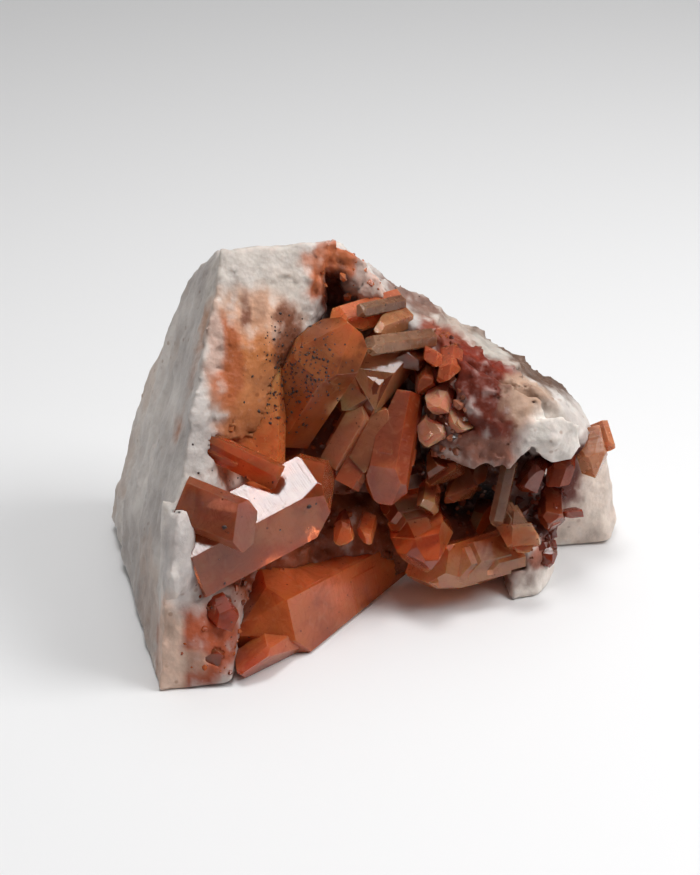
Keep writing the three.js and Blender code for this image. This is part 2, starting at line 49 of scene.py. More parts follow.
# the rock: convex lumps that run into each other, by their corner points
LUMPS = {
    "left_wall": [
        [-49.03, -42.51, 0], [-47.53, -39.49, 21.29], [-46.5, -36.49, 33.27], [-44.15, -30.49, 44.51],
        [-38.2, -23.49, 49.19], [-37.83, -17.49, 57.03], [-37.93, -10.49, 66.53], [-36.42, -2.49, 76.91],
        [-34, 8.51, 90.69], [-67.51, 27.68, 4], [-66.29, 28.51, 12.3], [-62.77, 31.51, 22.9],
        [-56.04, 34.51, 45.29], [-49.71, 35.51, 59.88], [-43.12, 33.51, 72.99], [-37.48, 28.51, 80.79],
        [-63.95, 40.51, 0], [-61.95, 42.51, 18], [-29.95, 42.51, 0], [-30.95, -35.49, 0],
        [-31.95, -27.49, 24], [-25.95, 16.51, 60], [-27.95, 22.51, 84],
    ],
    "upper_wall": [
        [-34, 8.51, 90.69], [-24.89, 11.51, 90.89], [-15.89, 13.51, 90.77], [-8.75, 15.51, 89.61],
        [-36.42, -2.49, 76.91], [-37.73, -12.49, 62.28], [-36.81, -17.49, 52.98], [-19.66, -5.49, 47.39],
        [-17.92, 0.51, 60.62], [-14.52, 5.51, 71.56], [-11.66, 11.51, 79.32], [-12.12, 13.51, 85.8],
        [-27.95, 24.51, 84], [-9.95, 28.51, 84], [-29.95, 18.51, 40], [-15.95, 18.51, 40],
    ],
    "top_rim": [
        [-15.89, 13.51, 90.77], [-8.75, 15.51, 89.87], [-4.67, 16.51, 87.85], [-1.04, 17.51, 83.69],
        [3.39, 17.51, 76.45], [6.36, 16.51, 70.96], [3.94, 17.51, 69.37], [-1.01, 17.51, 76.45],
        [-3.95, 16.51, 82.82], [-10.69, 14.51, 85.33], [-11.95, 30.51, 82], [-1.95, 32.51, 76],
        [8.05, 28.51, 68], [4.05, 32.51, 60],
    ],
    "back": [
        [-51.95, 38.51, 0], [-49.95, 42.51, 24], [-39.95, 41.51, 58], [-25.95, 36.51, 78],
        [-7.95, 34.51, 82], [8.05, 32.51, 70], [30.05, 33.51, 54], [46.05, 32.51, 42], [50.05, 34.51, 10],
        [44.05, 36.51, 0], [-43.95, 18.51, 0], [-31.95, 16.51, 56], [-3.95, 22.51, 66], [20.05, 20.51, 50],
        [40.05, 18.51, 36], [40.05, 18.51, 0], [-3.95, 16.51, 0], [-3.95, 20.51, 40],
    ],
    "ridge": [
        [4.3, 28.51, 74.78], [11.17, 30.51, 70.79], [18.88, 31.51, 65.83], [23.02, 30.51, 61.23],
        [27.62, 28.51, 57.12], [35.54, 27.51, 54.77], [44.63, 26.51, 49.54], [49.74, 24.51, 46.26],
        [54.81, 21.51, 41.79], [57.7, 17.51, 37.6], [6.31, 14.51, 71.94], [13.12, 11.51, 68.54],
        [20.46, 9.51, 64.09], [26.64, 8.51, 60.2], [34.04, 7.51, 56.85], [41.56, 7.51, 53.5],
        [48.09, 8.51, 48.44], [54.38, 10.51, 38.12], [13.44, 10.51, 49.6], [25.69, 4.51, 44.45],
        [38.17, 4.51, 41.59], [48.66, 7.51, 36.38], [54.05, 20.51, 22], [36.05, 32.51, 22],
        [6.05, 34.51, 40], [48.05, 28.51, 20],
    ],
    "crust": [
        [14.59, 6.51, 59.6], [20.77, 5.51, 63.98], [27.39, 1.51, 61.72], [34.84, 1.51, 56.78],
        [42.36, 2.51, 53.45], [14.36, -1.49, 45.07], [18.01, -3.49, 42], [27.66, -6.49, 40.1],
        [35.08, -5.49, 38.93], [40.13, -1.49, 42.24], [43.67, 0.51, 48.14], [24.94, -3.49, 54.57],
        [32.23, -4.49, 50.99], [21.49, -4.49, 46.81], [30.05, 14.51, 36], [16.05, 14.51, 40],
        [40.05, 12.51, 36],
    ],
    "white_knob": [
        [38.86, -1.49, 48.44], [41.65, -1.49, 50.96], [47.09, -0.49, 50.95], [52.13, 1.51, 47.29],
        [53.46, 1.51, 41.62], [50.71, -0.49, 38.8], [45.6, -2.49, 38.85], [42.05, -2.49, 41.12],
        [39.39, -2.49, 45.65], [45.96, -4.49, 46.81], [48.05, 10.51, 40], [46.05, 10.51, 34],
    ],
    "right_block": [
        [49.08, 16.51, 25.72], [55.49, 20.51, 28.74], [62.84, 24.51, 26.39], [65.58, 26.51, 16.63],
        [67.51, 26.51, 4.11], [65.2, 21, 1], [57.24, 20.59, 0], [48.68, 20.11, 0], [63.21, 28.51, 27.7],
        [66.05, 34.51, 0], [39.05, 35.51, 0], [62.05, 36.51, 24], [44.05, 14.51, 22], [37.05, 17.51, 0],
    ],
    "foot": [
        [37.17, -1.49, 8.11], [41.55, -0.49, 13.82], [47.74, 3.51, 9.06], [48.8, 3.51, 3.52],
        [46.14, 0.51, 0], [43.74, -3.56, 0], [37.23, -5.34, 0], [35.8, -0.49, 0.04], [36.05, 12.51, 0],
        [48.05, 16.51, 0], [36.05, 14.51, 22], [46.05, 14.51, 22],
    ],
    "wedge": [
        [-49.03, -42.51, 0], [-47.55, -40.49, 19.16], [-41.39, -37.49, 21.02], [-36.59, -35.49, 15.01],
        [-32.97, -35.49, 9.78], [-31.95, -41.25, 2], [-33.76, -39.8, 0], [-44.37, -41.35, 0],
        [-38.14, -31.49, 18.55], [-29.95, -27.49, 0], [-27.95, -25.49, 22],
    ],
    "bed": [
        [-33.95, -31.49, 0], [-35.95, -29.49, 12], [-35.85, -20.19, 13.5], [-25.35, -5.49, 12],
        [-15.85, 6.11, 10], [-3.55, 15.81, 7], [-35.65, -10.49, 23], [-23.25, 5.31, 24], [-11.15, 18.81, 23],
        [9.46, 5.51, 5.27], [11.57, 5.51, 2.17], [10.05, 9.51, 5], [12.05, 10.51, 3], [-11.95, -9.49, 2],
        [-23.95, -21.49, 0], [16.05, 22.51, 0], [16.05, 20.51, 26], [-31.95, 18.51, 30], [-33.95, 18.51, 0],
    ],
    "left_lip": [
        [-47.23, -41.49, 23.83], [-45.06, -40.99, 36.27], [-43.23, -36.49, 44.22], [-40.72, -32.49, 45.76],
        [-40.47, -35.49, 40.87], [-41.21, -38.49, 34.6], [-44.15, -41.49, 25.52], [-47.95, -31.49, 22],
        [-47.95, -27.49, 44], [-37.95, -29.49, 24],
    ],
    "back_fill": [
        [-55.95, 35.51, 40], [-49.95, 36.51, 56], [-42.95, 34.51, 70], [-36.95, 29.51, 79],
        [-27.95, 25.51, 83], [-11.95, 30.51, 82], [-7.95, 34.51, 80], [-25.95, 37.51, 76],
        [-39.95, 41.51, 56], [-49.95, 42.51, 24], [-60.95, 42.51, 16], [-53.95, 28.51, 20],
        [-33.95, 20.51, 60], [-19.95, 22.51, 70],
    ],
    "saddle": [
        [-1.95, 32.51, 74], [8.05, 28.51, 66], [4.25, 28.51, 73.5], [11.05, 30.51, 69.5], [6.35, 16.51, 70],
        [4.05, 18.51, 69], [8.05, 32.51, 68], [6.05, 22.51, 58], [16.05, 20.51, 58], [0.05, 24.51, 64],
        [18.05, 30.51, 62],
    ],
    "pocket_back": [
        [-33.95, 0.51, 28], [-33.95, 4.51, 50], [-11.95, 7.51, 54], [2.05, 9.51, 54], [11.05, 11.51, 48],
        [15.05, 10.51, 28], [-33.95, 20.51, 28], [15.05, 20.51, 28], [-31.95, 20.51, 58], [12.05, 20.51, 56],
        [-11.95, -0.49, 28], [4.05, 4.51, 26],
    ],
    "niche_back": [
        [-13.95, 17.51, 64], [-13.95, 20.51, 84], [-1.95, 21.51, 82], [4.05, 21.51, 72], [6.05, 20.51, 62],
        [-7.95, 17.51, 60], [-11.95, 26.51, 80], [0.05, 28.51, 76], [4.05, 28.51, 64], [-13.95, 26.51, 62],
    ],
    "right_back": [
        [12.05, 12.51, 4], [12.05, 16.51, 34], [42.05, 8.51, 36], [46.05, 12.51, 12], [40.05, 6.51, 8],
        [26.05, 6.51, 8], [42.05, 24.51, 0], [12.05, 24.51, 0], [40.05, 14.51, 0],
    ],
}

# the crystals: ends of the c-axis, direction of the first prism face, distances of
# the six prism faces, how far the six point faces stand past the tip, broken top
CRYSTALS = {
    "mirror": {"base": [-43.61, -27.47, 27.4], "tip": [-5.6, -7.4, 38.94], "face": [0, -0.5, 0.866],
        "d": [10.5, 10.2, 10, 10.5, 10, 9.5], "t": [2.5, 3, -1, 3, 2, 2.5], "top": 0},
    "slab": {"base": [-43.36, -28.49, 44.9], "tip": [-22.97, -32.49, 37.56], "face": [0.251, -0.902, 0.351],
        "d": [2.8, 5.2, 5.4, 2.8, 5, 5.2], "t": [1, 3, 2, 3, 2, 2], "top": -0.5},
    "rod": {"base": [-40.04, -14.99, 52.78], "tip": [-19.25, -20.49, 45.19], "face": [0.204, -0.764, 0.612],
        "d": [2.9, 3.1, 3, 2.9, 3.1, 3], "t": [1, 2, 1, 2, 1, 2], "top": -1.2},
    "bed_c": {"base": [-24.93, -24.49, 26.7], "tip": [-26.07, -31.49, 26.55], "face": [0, -0.866, 0.5],
        "d": [2, 2, 2, 2, 2, 2], "t": [0, 1.2, 0, 1.2, 0, 1.2], "top": 0},
    "floor_a": {"base": [5.97, 16.39, 0], "tip": [-32.28, -32.26, 8.5], "face": [0.766, -0.545, 0.342],
        "d": [9.5, 9.5, 17, 15, 14, 14], "t": [0.4, 0.6, -0.6, 1.5, 2, 1], "top": 0,
        "breaks": [([0, 0, -1], [-3.95, 8.51, 0]), ([0.521, -0.371, -0.769], [-24.27, -43.12, 0.75])]},
    "floor_b": {"base": [-1.89, 2.34, -2.6], "tip": [-29.87, -40.61, 4.7], "face": [0.766, -0.545, 0.342],
        "d": [4.75, 4.9, 4.7, 4.6, 6, 7], "t": [0.6, -0.4, 0.6, 1, 1, 1], "top": 0,
        "breaks": [([0, 0, -1], [-3.95, 8.51, 0]), ([0.521, -0.371, -0.769], [-24.27, -43.12, 0.75])]},
    "bed_a": {"base": [-3.45, -3.49, 23.8], "tip": [-6.15, -13.49, 23.5], "face": [-0.516, -0.817, 0.258],
        "d": [3.12, 2.77, 2.14, 2.28, 2.41, 2.44], "t": [-0.6, 1.46, 1.87, 0.38, 0.43, -0.7], "top": 0},
    "bed_b": {"base": [0.55, -1.49, 22.53], "tip": [-0.99, -10.49, 21.84], "face": [-0.359, -0.915, 0.185],
        "d": [2.5, 1.76, 1.61, 2.63, 2.17, 1.75], "t": [0.48, -0.71, 0.45, 1.49, 1.22, 0.84], "top": 0},
    "speckled": {"base": [-20.76, 5.51, 45.58], "tip": [-4.42, -0.49, 76.7], "face": [-0.298, -0.844, 0.447],
        "d": [7.6, 8, 7.6, 8, 7.8, 8.2], "t": [-2, 1, 4, 2, 2, -1], "top": 0},
    "blade_b": {"base": [-5.9, -9.49, 33.95], "tip": [5.55, 1.51, 52.06], "face": [-0.199, -0.845, 0.497],
        "d": [2.9, 3.8, 3.4, 3, 3.4, 3.6], "t": [2.5, 1, 3, 1, 2.5, 1], "top": 0},
    "hanging": {"base": [9.03, 5.51, 54.04], "tip": [3.82, -11.49, 33.19], "face": [-0.316, -0.895, 0.316],
        "d": [5, 5.4, 5.2, 5, 5.4, 5.2], "t": [-1, 1, 2, 2, 2, 1], "top": 0},
    "blade_a": {"base": [-9.33, -4.49, 38.33], "tip": [-0.05, 2.51, 53.18], "face": [-0.303, -0.808, 0.505],
        "d": [3.2, 3.8, 3.4, 3, 3.4, 3.6], "t": [2, 1, 3, 1, 2, 1], "top": 0},
    "diamond": {"base": [7.41, 14.51, 62.06], "tip": [-7.07, -4.49, 53.48], "face": [0.1, -0.796, 0.597],
        "d": [5.5, 6.5, 6, 6, 6, 6], "t": [-1, 3, 1, 2, 1, 0], "top": 0},
    "dark_a": {"base": [12.11, 14.51, 61.5], "tip": [8.59, 1.51, 61.72], "face": [0.277, -0.637, 0.72],
        "d": [3.02, 2.95, 3.47, 3.25, 2.59, 3.63], "t": [-0.68, 0.27, 1.33, -0.57, 0.49, -0.93], "top": 0},
    "peach": {"base": [-28.06, -9.09, 43.34], "tip": [-27.06, 11.71, 80.82], "face": [0.121, -0.856, 0.503],
        "d": [4.2, 7.6, 7, 5, 6.5, 7], "t": [1, 3, 2, 3, 2, 3], "top": 0},
    "peach_b": {"base": [-34.62, -10.69, 53.14], "tip": [-30.69, 0.51, 68.75], "face": [0.4, -0.799, 0.449],
        "d": [3.2, 3.2, 3, 3, 3, 3], "t": [0, 1.2, 0, 1.2, 0, 1.2], "top": 0},
    "front_mid": {"base": [8.28, 10.51, 25.16], "tip": [17.57, -16.49, 17.59], "face": [0.205, -0.717, 0.666],
        "d": [6.6, 7.2, 6.8, 6.6, 6.8, 6.8], "t": [2, 3, 1, 3, -1, 1], "top": 0},
    "pale_bottom": {"base": [40.19, 0.51, 12.25], "tip": [9.97, -11.49, 11.24], "face": [0.1, -0.5, 0.86],
        "d": [6, 5.8, 6, 6, 5.8, 6], "t": [-2, 2, 2, 2, -1, 0], "top": 0},
    "clear": {"base": [35.07, 2.51, 22.97], "tip": [40.58, -12.49, 18.74], "face": [0.212, -0.636, 0.742],
        "d": [4, 4.2, 4, 4, 4.2, 4], "t": [-1, 1, 1, 1, 1, 1], "top": 0},
    "stick": {"base": [35.57, 0.51, 37.63], "tip": [32.15, -4.49, 21.49], "face": [0.206, -0.928, 0.309],
        "d": [1.8, 2, 1.8, 1.8, 2, 1.8], "t": [0, 1.2, 0, 1.2, 0, 1.2], "top": 0},
    "knob_c": {"base": [16.17, 4.51, 27.65], "tip": [14.93, -8.99, 27.88], "face": [0, -0.866, 0.5],
        "d": [2.6, 2.6, 2.4, 2.6, 2.4, 2.4], "t": [0, 1.2, 0, 1.2, 0, 1.2], "top": 0},
    "back_b": {"base": [31.42, 10.51, 19.46], "tip": [28.16, -2.49, 17.82], "face": [-0.539, -0.842, 0.022],
        "d": [3.12, 3.13, 2.62, 3.53, 2.55, 2.56], "t": [-0.44, -0.61, 0.02, -1, -1.19, -0.65], "top": 0},
    "wedge_o": {"base": [7.89, 19.51, 71.68], "tip": [-9.74, 7.51, 71.63], "face": [0, -0.503, 0.865],
        "d": [3.4, 3.6, 3.4, 3.4, 3.6, 3.4], "t": [0, 1.2, 0, 1.2, 0, 1.2], "top": 0},
    "needle_a": {"base": [8.81, 17.51, 73.19], "tip": [-2.51, 5.51, 76.38], "face": [0, -0.406, 0.914],
        "d": [1.4, 1.7, 1.4, 1.4, 1.7, 1.4], "t": [0, 1.2, 0, 1.2, 0, 1.2], "top": 0},
    "cream": {"base": [9.58, 16.51, 69.32], "tip": [0.38, 5.51, 71.03], "face": [0, -0.6, 0.8],
        "d": [2.6, 2.8, 2.6, 2.6, 2.8, 2.6], "t": [0, 1.2, 0, 1.2, 0, 1.2], "top": 0},
    "needle_b": {"base": [16.14, 12.51, 65.84], "tip": [-1.09, 0.51, 69.55], "face": [0, -0.406, 0.914],
        "d": [1.9, 2.3, 2, 1.9, 2.3, 2], "t": [0, 1.2, 0, 1.2, 0, 1.2], "top": 0},
    "rim_a": {"base": [17.14, 12.51, 65.29], "tip": [16.27, 1.51, 63.36], "face": [0.403, -0.842, 0.358],
        "d": [2.24, 2.37, 2.74, 1.9, 2.47, 2.09], "t": [-0.59, -0.75, 1.19, -0.56, -0.23, 0.16], "top": 0},
    "rim_b": {"base": [21.29, 10.51, 62.47], "tip": [20.1, -0.49, 60.61], "face": [-0.354, -0.729, 0.586],
        "d": [2.69, 3.14, 3.05, 3.11, 2.32, 2.5], "t": [0.07, 1.56, 1.77, -0.52, -0.45, -0.29], "top": 0},
    "sugar_b": {"base": [23.8, 8.51, 48.44], "tip": [22.9, -7.49, 51.31], "face": [0.351, -0.804, 0.48],
        "d": [3.33, 4.13, 4.78, 4.03, 3.67, 4.83], "t": [-1.2, 2.21, -0.18, -0.79, -0.91, -0.1], "top": 0},
    "sugar_a": {"base": [19.81, 10.51, 52.99], "tip": [17.06, -6.49, 56.79], "face": [-0.203, -0.947, 0.248],
        "d": [3.7, 3.34, 4.39, 3.18, 4.15, 3.79], "t": [-1.21, 0.77, -1.3, 0.44, -1.16, -1.07], "top": 0},
    "sugar_c": {"base": [17.92, 8.51, 45.6], "tip": [14.63, -6.49, 47.41], "face": [0.533, -0.777, 0.335],
        "d": [3.95, 3.44, 3.78, 2.86, 2.85, 3.13], "t": [1.38, 0.38, -0.08, 1.01, 0.48, -0.13], "top": 0},
    "dark_b": {"base": [15.33, 12.51, 57.53], "tip": [13.7, 0.51, 57.32], "face": [0.22, -0.367, 0.904],
        "d": [3.24, 2.46, 2.99, 2.85, 2.83, 2.65], "t": [1.49, 1.8, 0.41, 0.97, -0.8, 1.08], "top": 0},
    "knob_a": {"base": [20.54, 6.51, 36.97], "tip": [17.28, -6.49, 36.68], "face": [0.027, -0.999, 0.04],
        "d": [4.76, 4.24, 4.77, 3.8, 3.58, 4.84], "t": [2.94, 2.34, 2.13, 2.19, 1.84, -0.48], "top": 0},
    "knob_b": {"base": [24.66, 6.51, 32.9], "tip": [22.41, -5.49, 29.74], "face": [-0.331, -0.791, 0.515],
        "d": [2.64, 3.09, 3.06, 3.84, 4.31, 3.4], "t": [2.28, 2.47, 2.35, 0.12, -0.43, -0.4], "top": 0},
    "back_a": {"base": [28.23, 8.51, 34.63], "tip": [25.95, 0.51, 29.52], "face": [0.383, -0.44, 0.812],
        "d": [2.38, 2.02, 2.6, 2.53, 2.81, 3.35], "t": [1.05, 0.54, 0.84, 1.01, -0.82, 1.66], "top": 0},
    "red_a": {"base": [44.35, 16.51, 27.52], "tip": [40.45, -0.49, 31.88], "face": [0.315, -0.693, 0.648],
        "d": [3.98, 3.88, 3.26, 3.56, 3.81, 2.59], "t": [1.17, 2.06, 1.6, 1.49, 0.52, -0.55], "top": 0},
    "red_b": {"base": [49.87, 12.51, 32.27], "tip": [48.62, 2.51, 28.29], "face": [0.679, -0.632, 0.374],
        "d": [3.74, 2.85, 2.85, 3.7, 3.36, 2.5], "t": [-0.67, -0.59, 1.86, 1.54, -0.61, 1.61], "top": 0},
    "red_d": {"base": [47.7, 14.51, 19.09], "tip": [46.72, 0.51, 18.28], "face": [0.028, -0.927, 0.374],
        "d": [3.06, 3.35, 2.83, 4.23, 3.23, 3.42], "t": [0.95, 2.16, 0.33, 2.21, 0.64, 0.75], "top": 0},
    "red_c": {"base": [46.18, 10.51, 21.57], "tip": [55.72, 5.51, 19.89], "face": [-0.246, -0.817, 0.522],
        "d": [3.48, 2.75, 2.54, 4.22, 3.66, 3.44], "t": [2.21, 0.37, 1.98, 1.81, -0.45, -0.3], "top": 0},
    "red_f": {"base": [44.3, 6.51, 11.37], "tip": [47.2, -0.49, 7.44], "face": [-0.042, -0.475, 0.879],
        "d": [2.99, 2.63, 2.7, 2.97, 3.18, 2.54], "t": [0.79, 0.49, 0.51, 1.02, 0.34, 0.57], "top": 0},
    "red_e": {"base": [47.86, 14.51, 11.13], "tip": [45.43, 4.51, 10.85], "face": [0.08, -0.954, 0.287],
        "d": [1.87, 1.66, 2.58, 1.85, 2.2, 2.49], "t": [0.54, -0.02, 0.45, 0.54, 1.09, -0.55], "top": 0},
    "pale_r": {"base": [55.7, 17.51, 37.01], "tip": [58.69, 8.51, 26.38], "face": [0.211, -0.475, 0.854],
        "d": [4.29, 4.41, 3.14, 3.7, 4.41, 4.22], "t": [-0.76, -0.82, 0.42, -1.01, -0.36, -1.01], "top": 0},
    "pale_r2": {"base": [59.6, 20.51, 37.07], "tip": [61.55, 14.51, 31.97], "face": [-0.44, -0.751, 0.493],
        "d": [1.59, 2.16, 2.1, 1.58, 2.32, 2.41], "t": [-0.24, 1.3, 0.14, 0.32, 1.38, 1.05], "top": 0},
    "low_left": {"base": [-36.24, -31.49, 18.55], "tip": [-31.8, -37.49, 13.56], "face": [0.309, -0.722, 0.619],
        "d": [3.4, 3.6, 3.4, 3.4, 3.6, 3.4], "t": [0, 1.2, 0, 1.2, 0, 1.2], "top": 0},
    "low_left_b": {"base": [-37.89, -33.49, 8.91], "tip": [-35.31, -41.99, 6.39], "face": [0, -0.866, 0.5],
        "d": [2.6, 2.6, 2.6, 2.6, 2.6, 2.6], "t": [0, 1.2, 0, 1.2, 0, 1.2], "top": 0},
}

# pieces: name, crystals in it, material, slot
GROUPS = [
    ("mirror_face_crystal", ["mirror", "slab", "rod", "bed_c"], "orange", "hematoid_quartz"),
    ("floor_crystals", ["floor_a", "floor_b"], "orange", "hematoid_quartz"),
    ("bed_crystals", ["bed_a", "bed_b"], "orange", "hematoid_quartz"),
    ("speckled_crystal", ["speckled"], "orange", "hematoid_quartz"),
    ("blade_crystals", ["blade_b", "hanging", "blade_a"], "orange", "hematoid_quartz"),
    ("slanted_crystal", ["diamond", "dark_a"], "orange", "hematoid_quartz"),
    ("wall_crystal", ["peach", "peach_b"], "pale", "pale_quartz"),
    ("front_crystals", ["front_mid", "pale_bottom", "clear", "stick", "knob_c", "back_b"], "orange", "hematoid_quartz"),
    ("roof_needles", ["wedge_o", "needle_a", "cream", "needle_b", "rim_a", "rim_b"], "pale", "hematoid_quartz"),
    ("sugary_crystals", ["sugar_b", "sugar_a", "sugar_c", "dark_b"], "orange", "hematoid_quartz"),
    ("knob_crystals", ["knob_a", "knob_b", "back_a"], "orange", "hematoid_quartz"),
    ("red_crystal_top", ["red_a"], "red", "dark_hematoid_quartz"),
    ("red_crystal_side", ["red_b"], "red", "dark_hematoid_quartz"),
    ("red_crystal_pair", ["red_d", "red_c"], "red", "dark_hematoid_quartz"),
    ("red_crystal_small_pair", ["red_f", "red_e"], "red", "dark_hematoid_quartz"),
    ("pale_crystals", ["pale_r", "pale_r2"], "pale", "pale_quartz"),
    ("corner_crystal", ["low_left"], "orange", "hematoid_quartz"),
    ("corner_crystal_small", ["low_left_b"], "orange", "hematoid_quartz"),
]

# each crystal's colour at its base and at its tip; the speckled crystal's dark tip is painted shade
TINT = {
    "floor_a": ((112, 58, 36), (108, 54, 34)),
    "floor_b": ((122, 54, 32), (112, 48, 28)),
    "mirror": ((124, 68, 44), (122, 64, 38)),
    "slab": ((120, 68, 50), (112, 68, 54)),
    "rod": ((132, 72, 44), (142, 82, 54)),
    "peach": ((136, 78, 48), (176, 130, 100)),
    "peach_b": ((140, 74, 42), (150, 84, 52)),
    # painted shade: the speckled crystal is made darker towards its tip, where its top catches the most light
    "speckled": ((140, 84, 52), (70, 40, 25)),
    "diamond": ((126, 76, 58), (150, 112, 94)),
    "blade_b": ((90, 50, 38), (112, 74, 60)),
    "blade_a": ((108, 62, 48), (130, 92, 80)),
    "hanging": ((84, 36, 20), (104, 48, 26)),
    "front_mid": ((106, 48, 26), (118, 54, 28)),
    "pale_bottom": ((136, 82, 54), (148, 100, 78)),
    "clear": ((112, 88, 80), (130, 118, 114)),
    "stick": ((84, 62, 56), (104, 86, 84)),
    "knob_a": ((84, 46, 32), (116, 70, 52)),
    "knob_b": ((84, 46, 32), (116, 66, 46)),
    "knob_c": ((110, 62, 44), (160, 112, 90)),
    "red_a": ((74, 26, 16), (100, 42, 26)),
    "red_b": ((74, 26, 16), (104, 50, 34)),
    "red_c": ((74, 26, 16), (110, 54, 36)),
    "red_d": ((74, 26, 16), (112, 58, 38)),
    "red_e": ((74, 26, 16), (90, 36, 24)),
    "red_f": ((74, 26, 16), (96, 38, 24)),
    "pale_r": ((110, 76, 60), (122, 90, 76)),
    "pale_r2": ((110, 70, 54), (122, 84, 68)),
    "needle_a": ((76, 52, 42), (90, 74, 66)),
    "needle_b": ((76, 52, 42), (90, 74, 66)),
    "wedge_o": ((130, 66, 36), (146, 80, 46)),
    "cream": ((110, 74, 54), (124, 92, 72)),
    "sugar_a": ((136, 82, 74), (160, 108, 104)),
    "sugar_b": ((136, 82, 74), (160, 108, 104)),
    "sugar_c": ((136, 82, 74), (160, 108, 104)),
    "dark_a": ((70, 32, 22), (96, 50, 36)),
    "dark_b": ((70, 32, 22), (96, 50, 36)),
    "rim_a": ((96, 42, 26), (120, 62, 42)),
    "rim_b": ((96, 42, 26), (120, 62, 42)),
    "back_a": ((84, 44, 30), (110, 62, 42)),
    "back_b": ((84, 44, 30), (110, 62, 42)),
    "bed_a": ((76, 34, 26), (92, 50, 42)),
    "bed_b": ((76, 34, 26), (92, 50, 42)),
    "bed_c": ((120, 58, 36), (130, 64, 40)),
    "low_left": ((110, 46, 26), (132, 62, 38)),
    "low_left_b": ((110, 46, 26), (132, 62, 38)),
}

# the inside of the pocket: centre and radii
POCKET = [
    ([-25.95, -5.49, 60], [16, 14, 26]),
    ([-5.95, 12.51, 76], [11, 8, 12]),
    ([-3.95, 0.51, 45], [24, 16, 24]),
    ([24.05, 2.51, 46], [30, 14, 24]),
    ([26.05, 4.51, 22], [30, 14, 22]),
    ([-11.95, -15.49, 18], [26, 24, 18]),
    ([-37.95, -37.49, 14], [13, 10, 14]),
]

# stains on the rock, and one patch of painted shade: centre, radii, colour, strength, raggedness
STAINS = [
    ([-26.65, 8.51, 82.07], [16, 10, 12], (206, 196, 186), 0.7, 0.4),
    ([-26.5, 0.51, 74.09], [12, 9, 10], (212, 158, 124), 0.85, 0.4),
    ([-26.33, -4.49, 62.76], [13, 10, 14], (186, 112, 58), 0.95, 0.35),
    ([-26.42, -9.49, 50.25], [17, 11, 9], (186, 112, 64), 0.95, 0.35),
    ([-33.22, -5.49, 68.66], [4.5, 7, 15], (182, 98, 56), 0.9, 0.4),
    ([-36.21, -4.49, 72.66], [2.5, 5, 16], (212, 200, 190), 0.6, 0.4),
    ([-28.69, 2.51, 75.74], [1.5, 5, 7], (112, 60, 40), 0.9, 0.5),
    ([-19.52, 2.51, 69.06], [4, 6, 12], (120, 66, 42), 0.9, 0.5),
    ([-3.95, 8.51, 46], [26, 16, 24], (104, 52, 32), 1, 0.2),
    ([-3.46, 15.51, 80.62], [12, 10, 9], (200, 92, 22), 0.95, 0.5),
    ([-9.96, 13.51, 84.21], [7, 6, 5], (190, 110, 70), 0.7, 0.6),
    ([-7.61, 15.51, 75.52], [6, 8, 8], (78, 36, 24), 0.95, 0.3),
    ([1.93, 18.51, 77.32], [7, 7, 8], (214, 200, 190), 0.8, 0.4),
    ([31.39, 24.51, 58.6], [36, 12, 15], (178, 160, 146), 0.8, 0.4),
    ([39.85, 25.51, 51.8], [26, 12, 9], (100, 72, 56), 0.9, 0.6),
    ([13.63, 28.51, 70.63], [15, 8, 6], (124, 86, 72), 0.85, 0.5),
    ([30.8, 22.51, 57.36], [6, 6, 4], (206, 198, 188), 0.9, 0.4),
    ([18.09, 10.51, 63.02], [11, 9, 9], (140, 56, 26), 0.95, 0.4),
    ([28.19, 5.51, 59.58], [19, 9, 7], (128, 38, 14), 1, 0.4),
    ([30.45, -1.49, 52.07], [17, 12, 13], (104, 38, 22), 1, 0.3),
    ([27.69, -4.49, 42.59], [14, 8, 5], (146, 100, 84), 0.7, 0.5),
    ([40.6, 4.51, 52.91], [10, 8, 7], (204, 172, 148), 0.8, 0.5),
    ([46.36, 0.51, 43.63], [10, 9, 9], (232, 224, 216), 1, 0.2),
    ([59.82, 22.51, 12.9], [15, 16, 18], (234, 216, 202), 0.9, 0.3),
    ([54.92, 17.51, 24.52], [7, 8, 5], (200, 160, 138), 0.6, 0.6),
    ([43.53, 1.51, 2.7], [9, 9, 9], (240, 229, 219), 0.9, 0.3),
    ([44.52, 2.51, 10.33], [6, 6, 3.5], (170, 82, 48), 0.85, 0.4),
    ([49.66, 10.51, 23.37], [13, 11, 15], (100, 28, 14), 0.95, 0.3),
    ([29.16, 8.51, 22.21], [17, 14, 14], (80, 40, 26), 1, 0.25),
    # painted shade: the near-black of a deep hole behind the crystals, painted on the rock
    ([27.7, 8.51, 20.11], [9, 12, 7], (22, 9, 7), 1, 0.2),
    ([21.7, 3.51, 6.6], [20, 12, 10], (120, 62, 38), 0.9, 0.3),
    ([-39.5, -37.49, 9.78], [11, 10, 11], (166, 72, 30), 0.95, 0.45),
    ([-40.24, -41.49, 7.77], [4, 5, 4], (206, 176, 156), 0.6, 0.6),
    ([-47.15, -41.49, 11.26], [4.5, 7, 16], (232, 200, 180), 0.95, 0.3),
    ([-43.55, -37.49, 35.32], [5, 6, 14], (204, 196, 192), 0.9, 0.4),
    ([-16.11, -17.49, 20.6], [24, 18, 11], (150, 76, 42), 1, 0.25),
    ([-5.18, -7.49, 22.83], [22, 18, 13], (140, 70, 38), 1, 0.25),
    ([7.51, 2.51, 11.85], [14, 14, 11], (128, 64, 36), 1, 0.25),
    ([8.5, 6.51, 40.44], [18, 14, 18], (90, 44, 26), 1, 0.25),
    ([-11.31, 0.51, 43.91], [18, 14, 10], (116, 58, 34), 1, 0.25),
    ([-52.71, -21.49, 11.57], [8, 16, 14], (196, 160, 136), 0.35, 0.8),
]
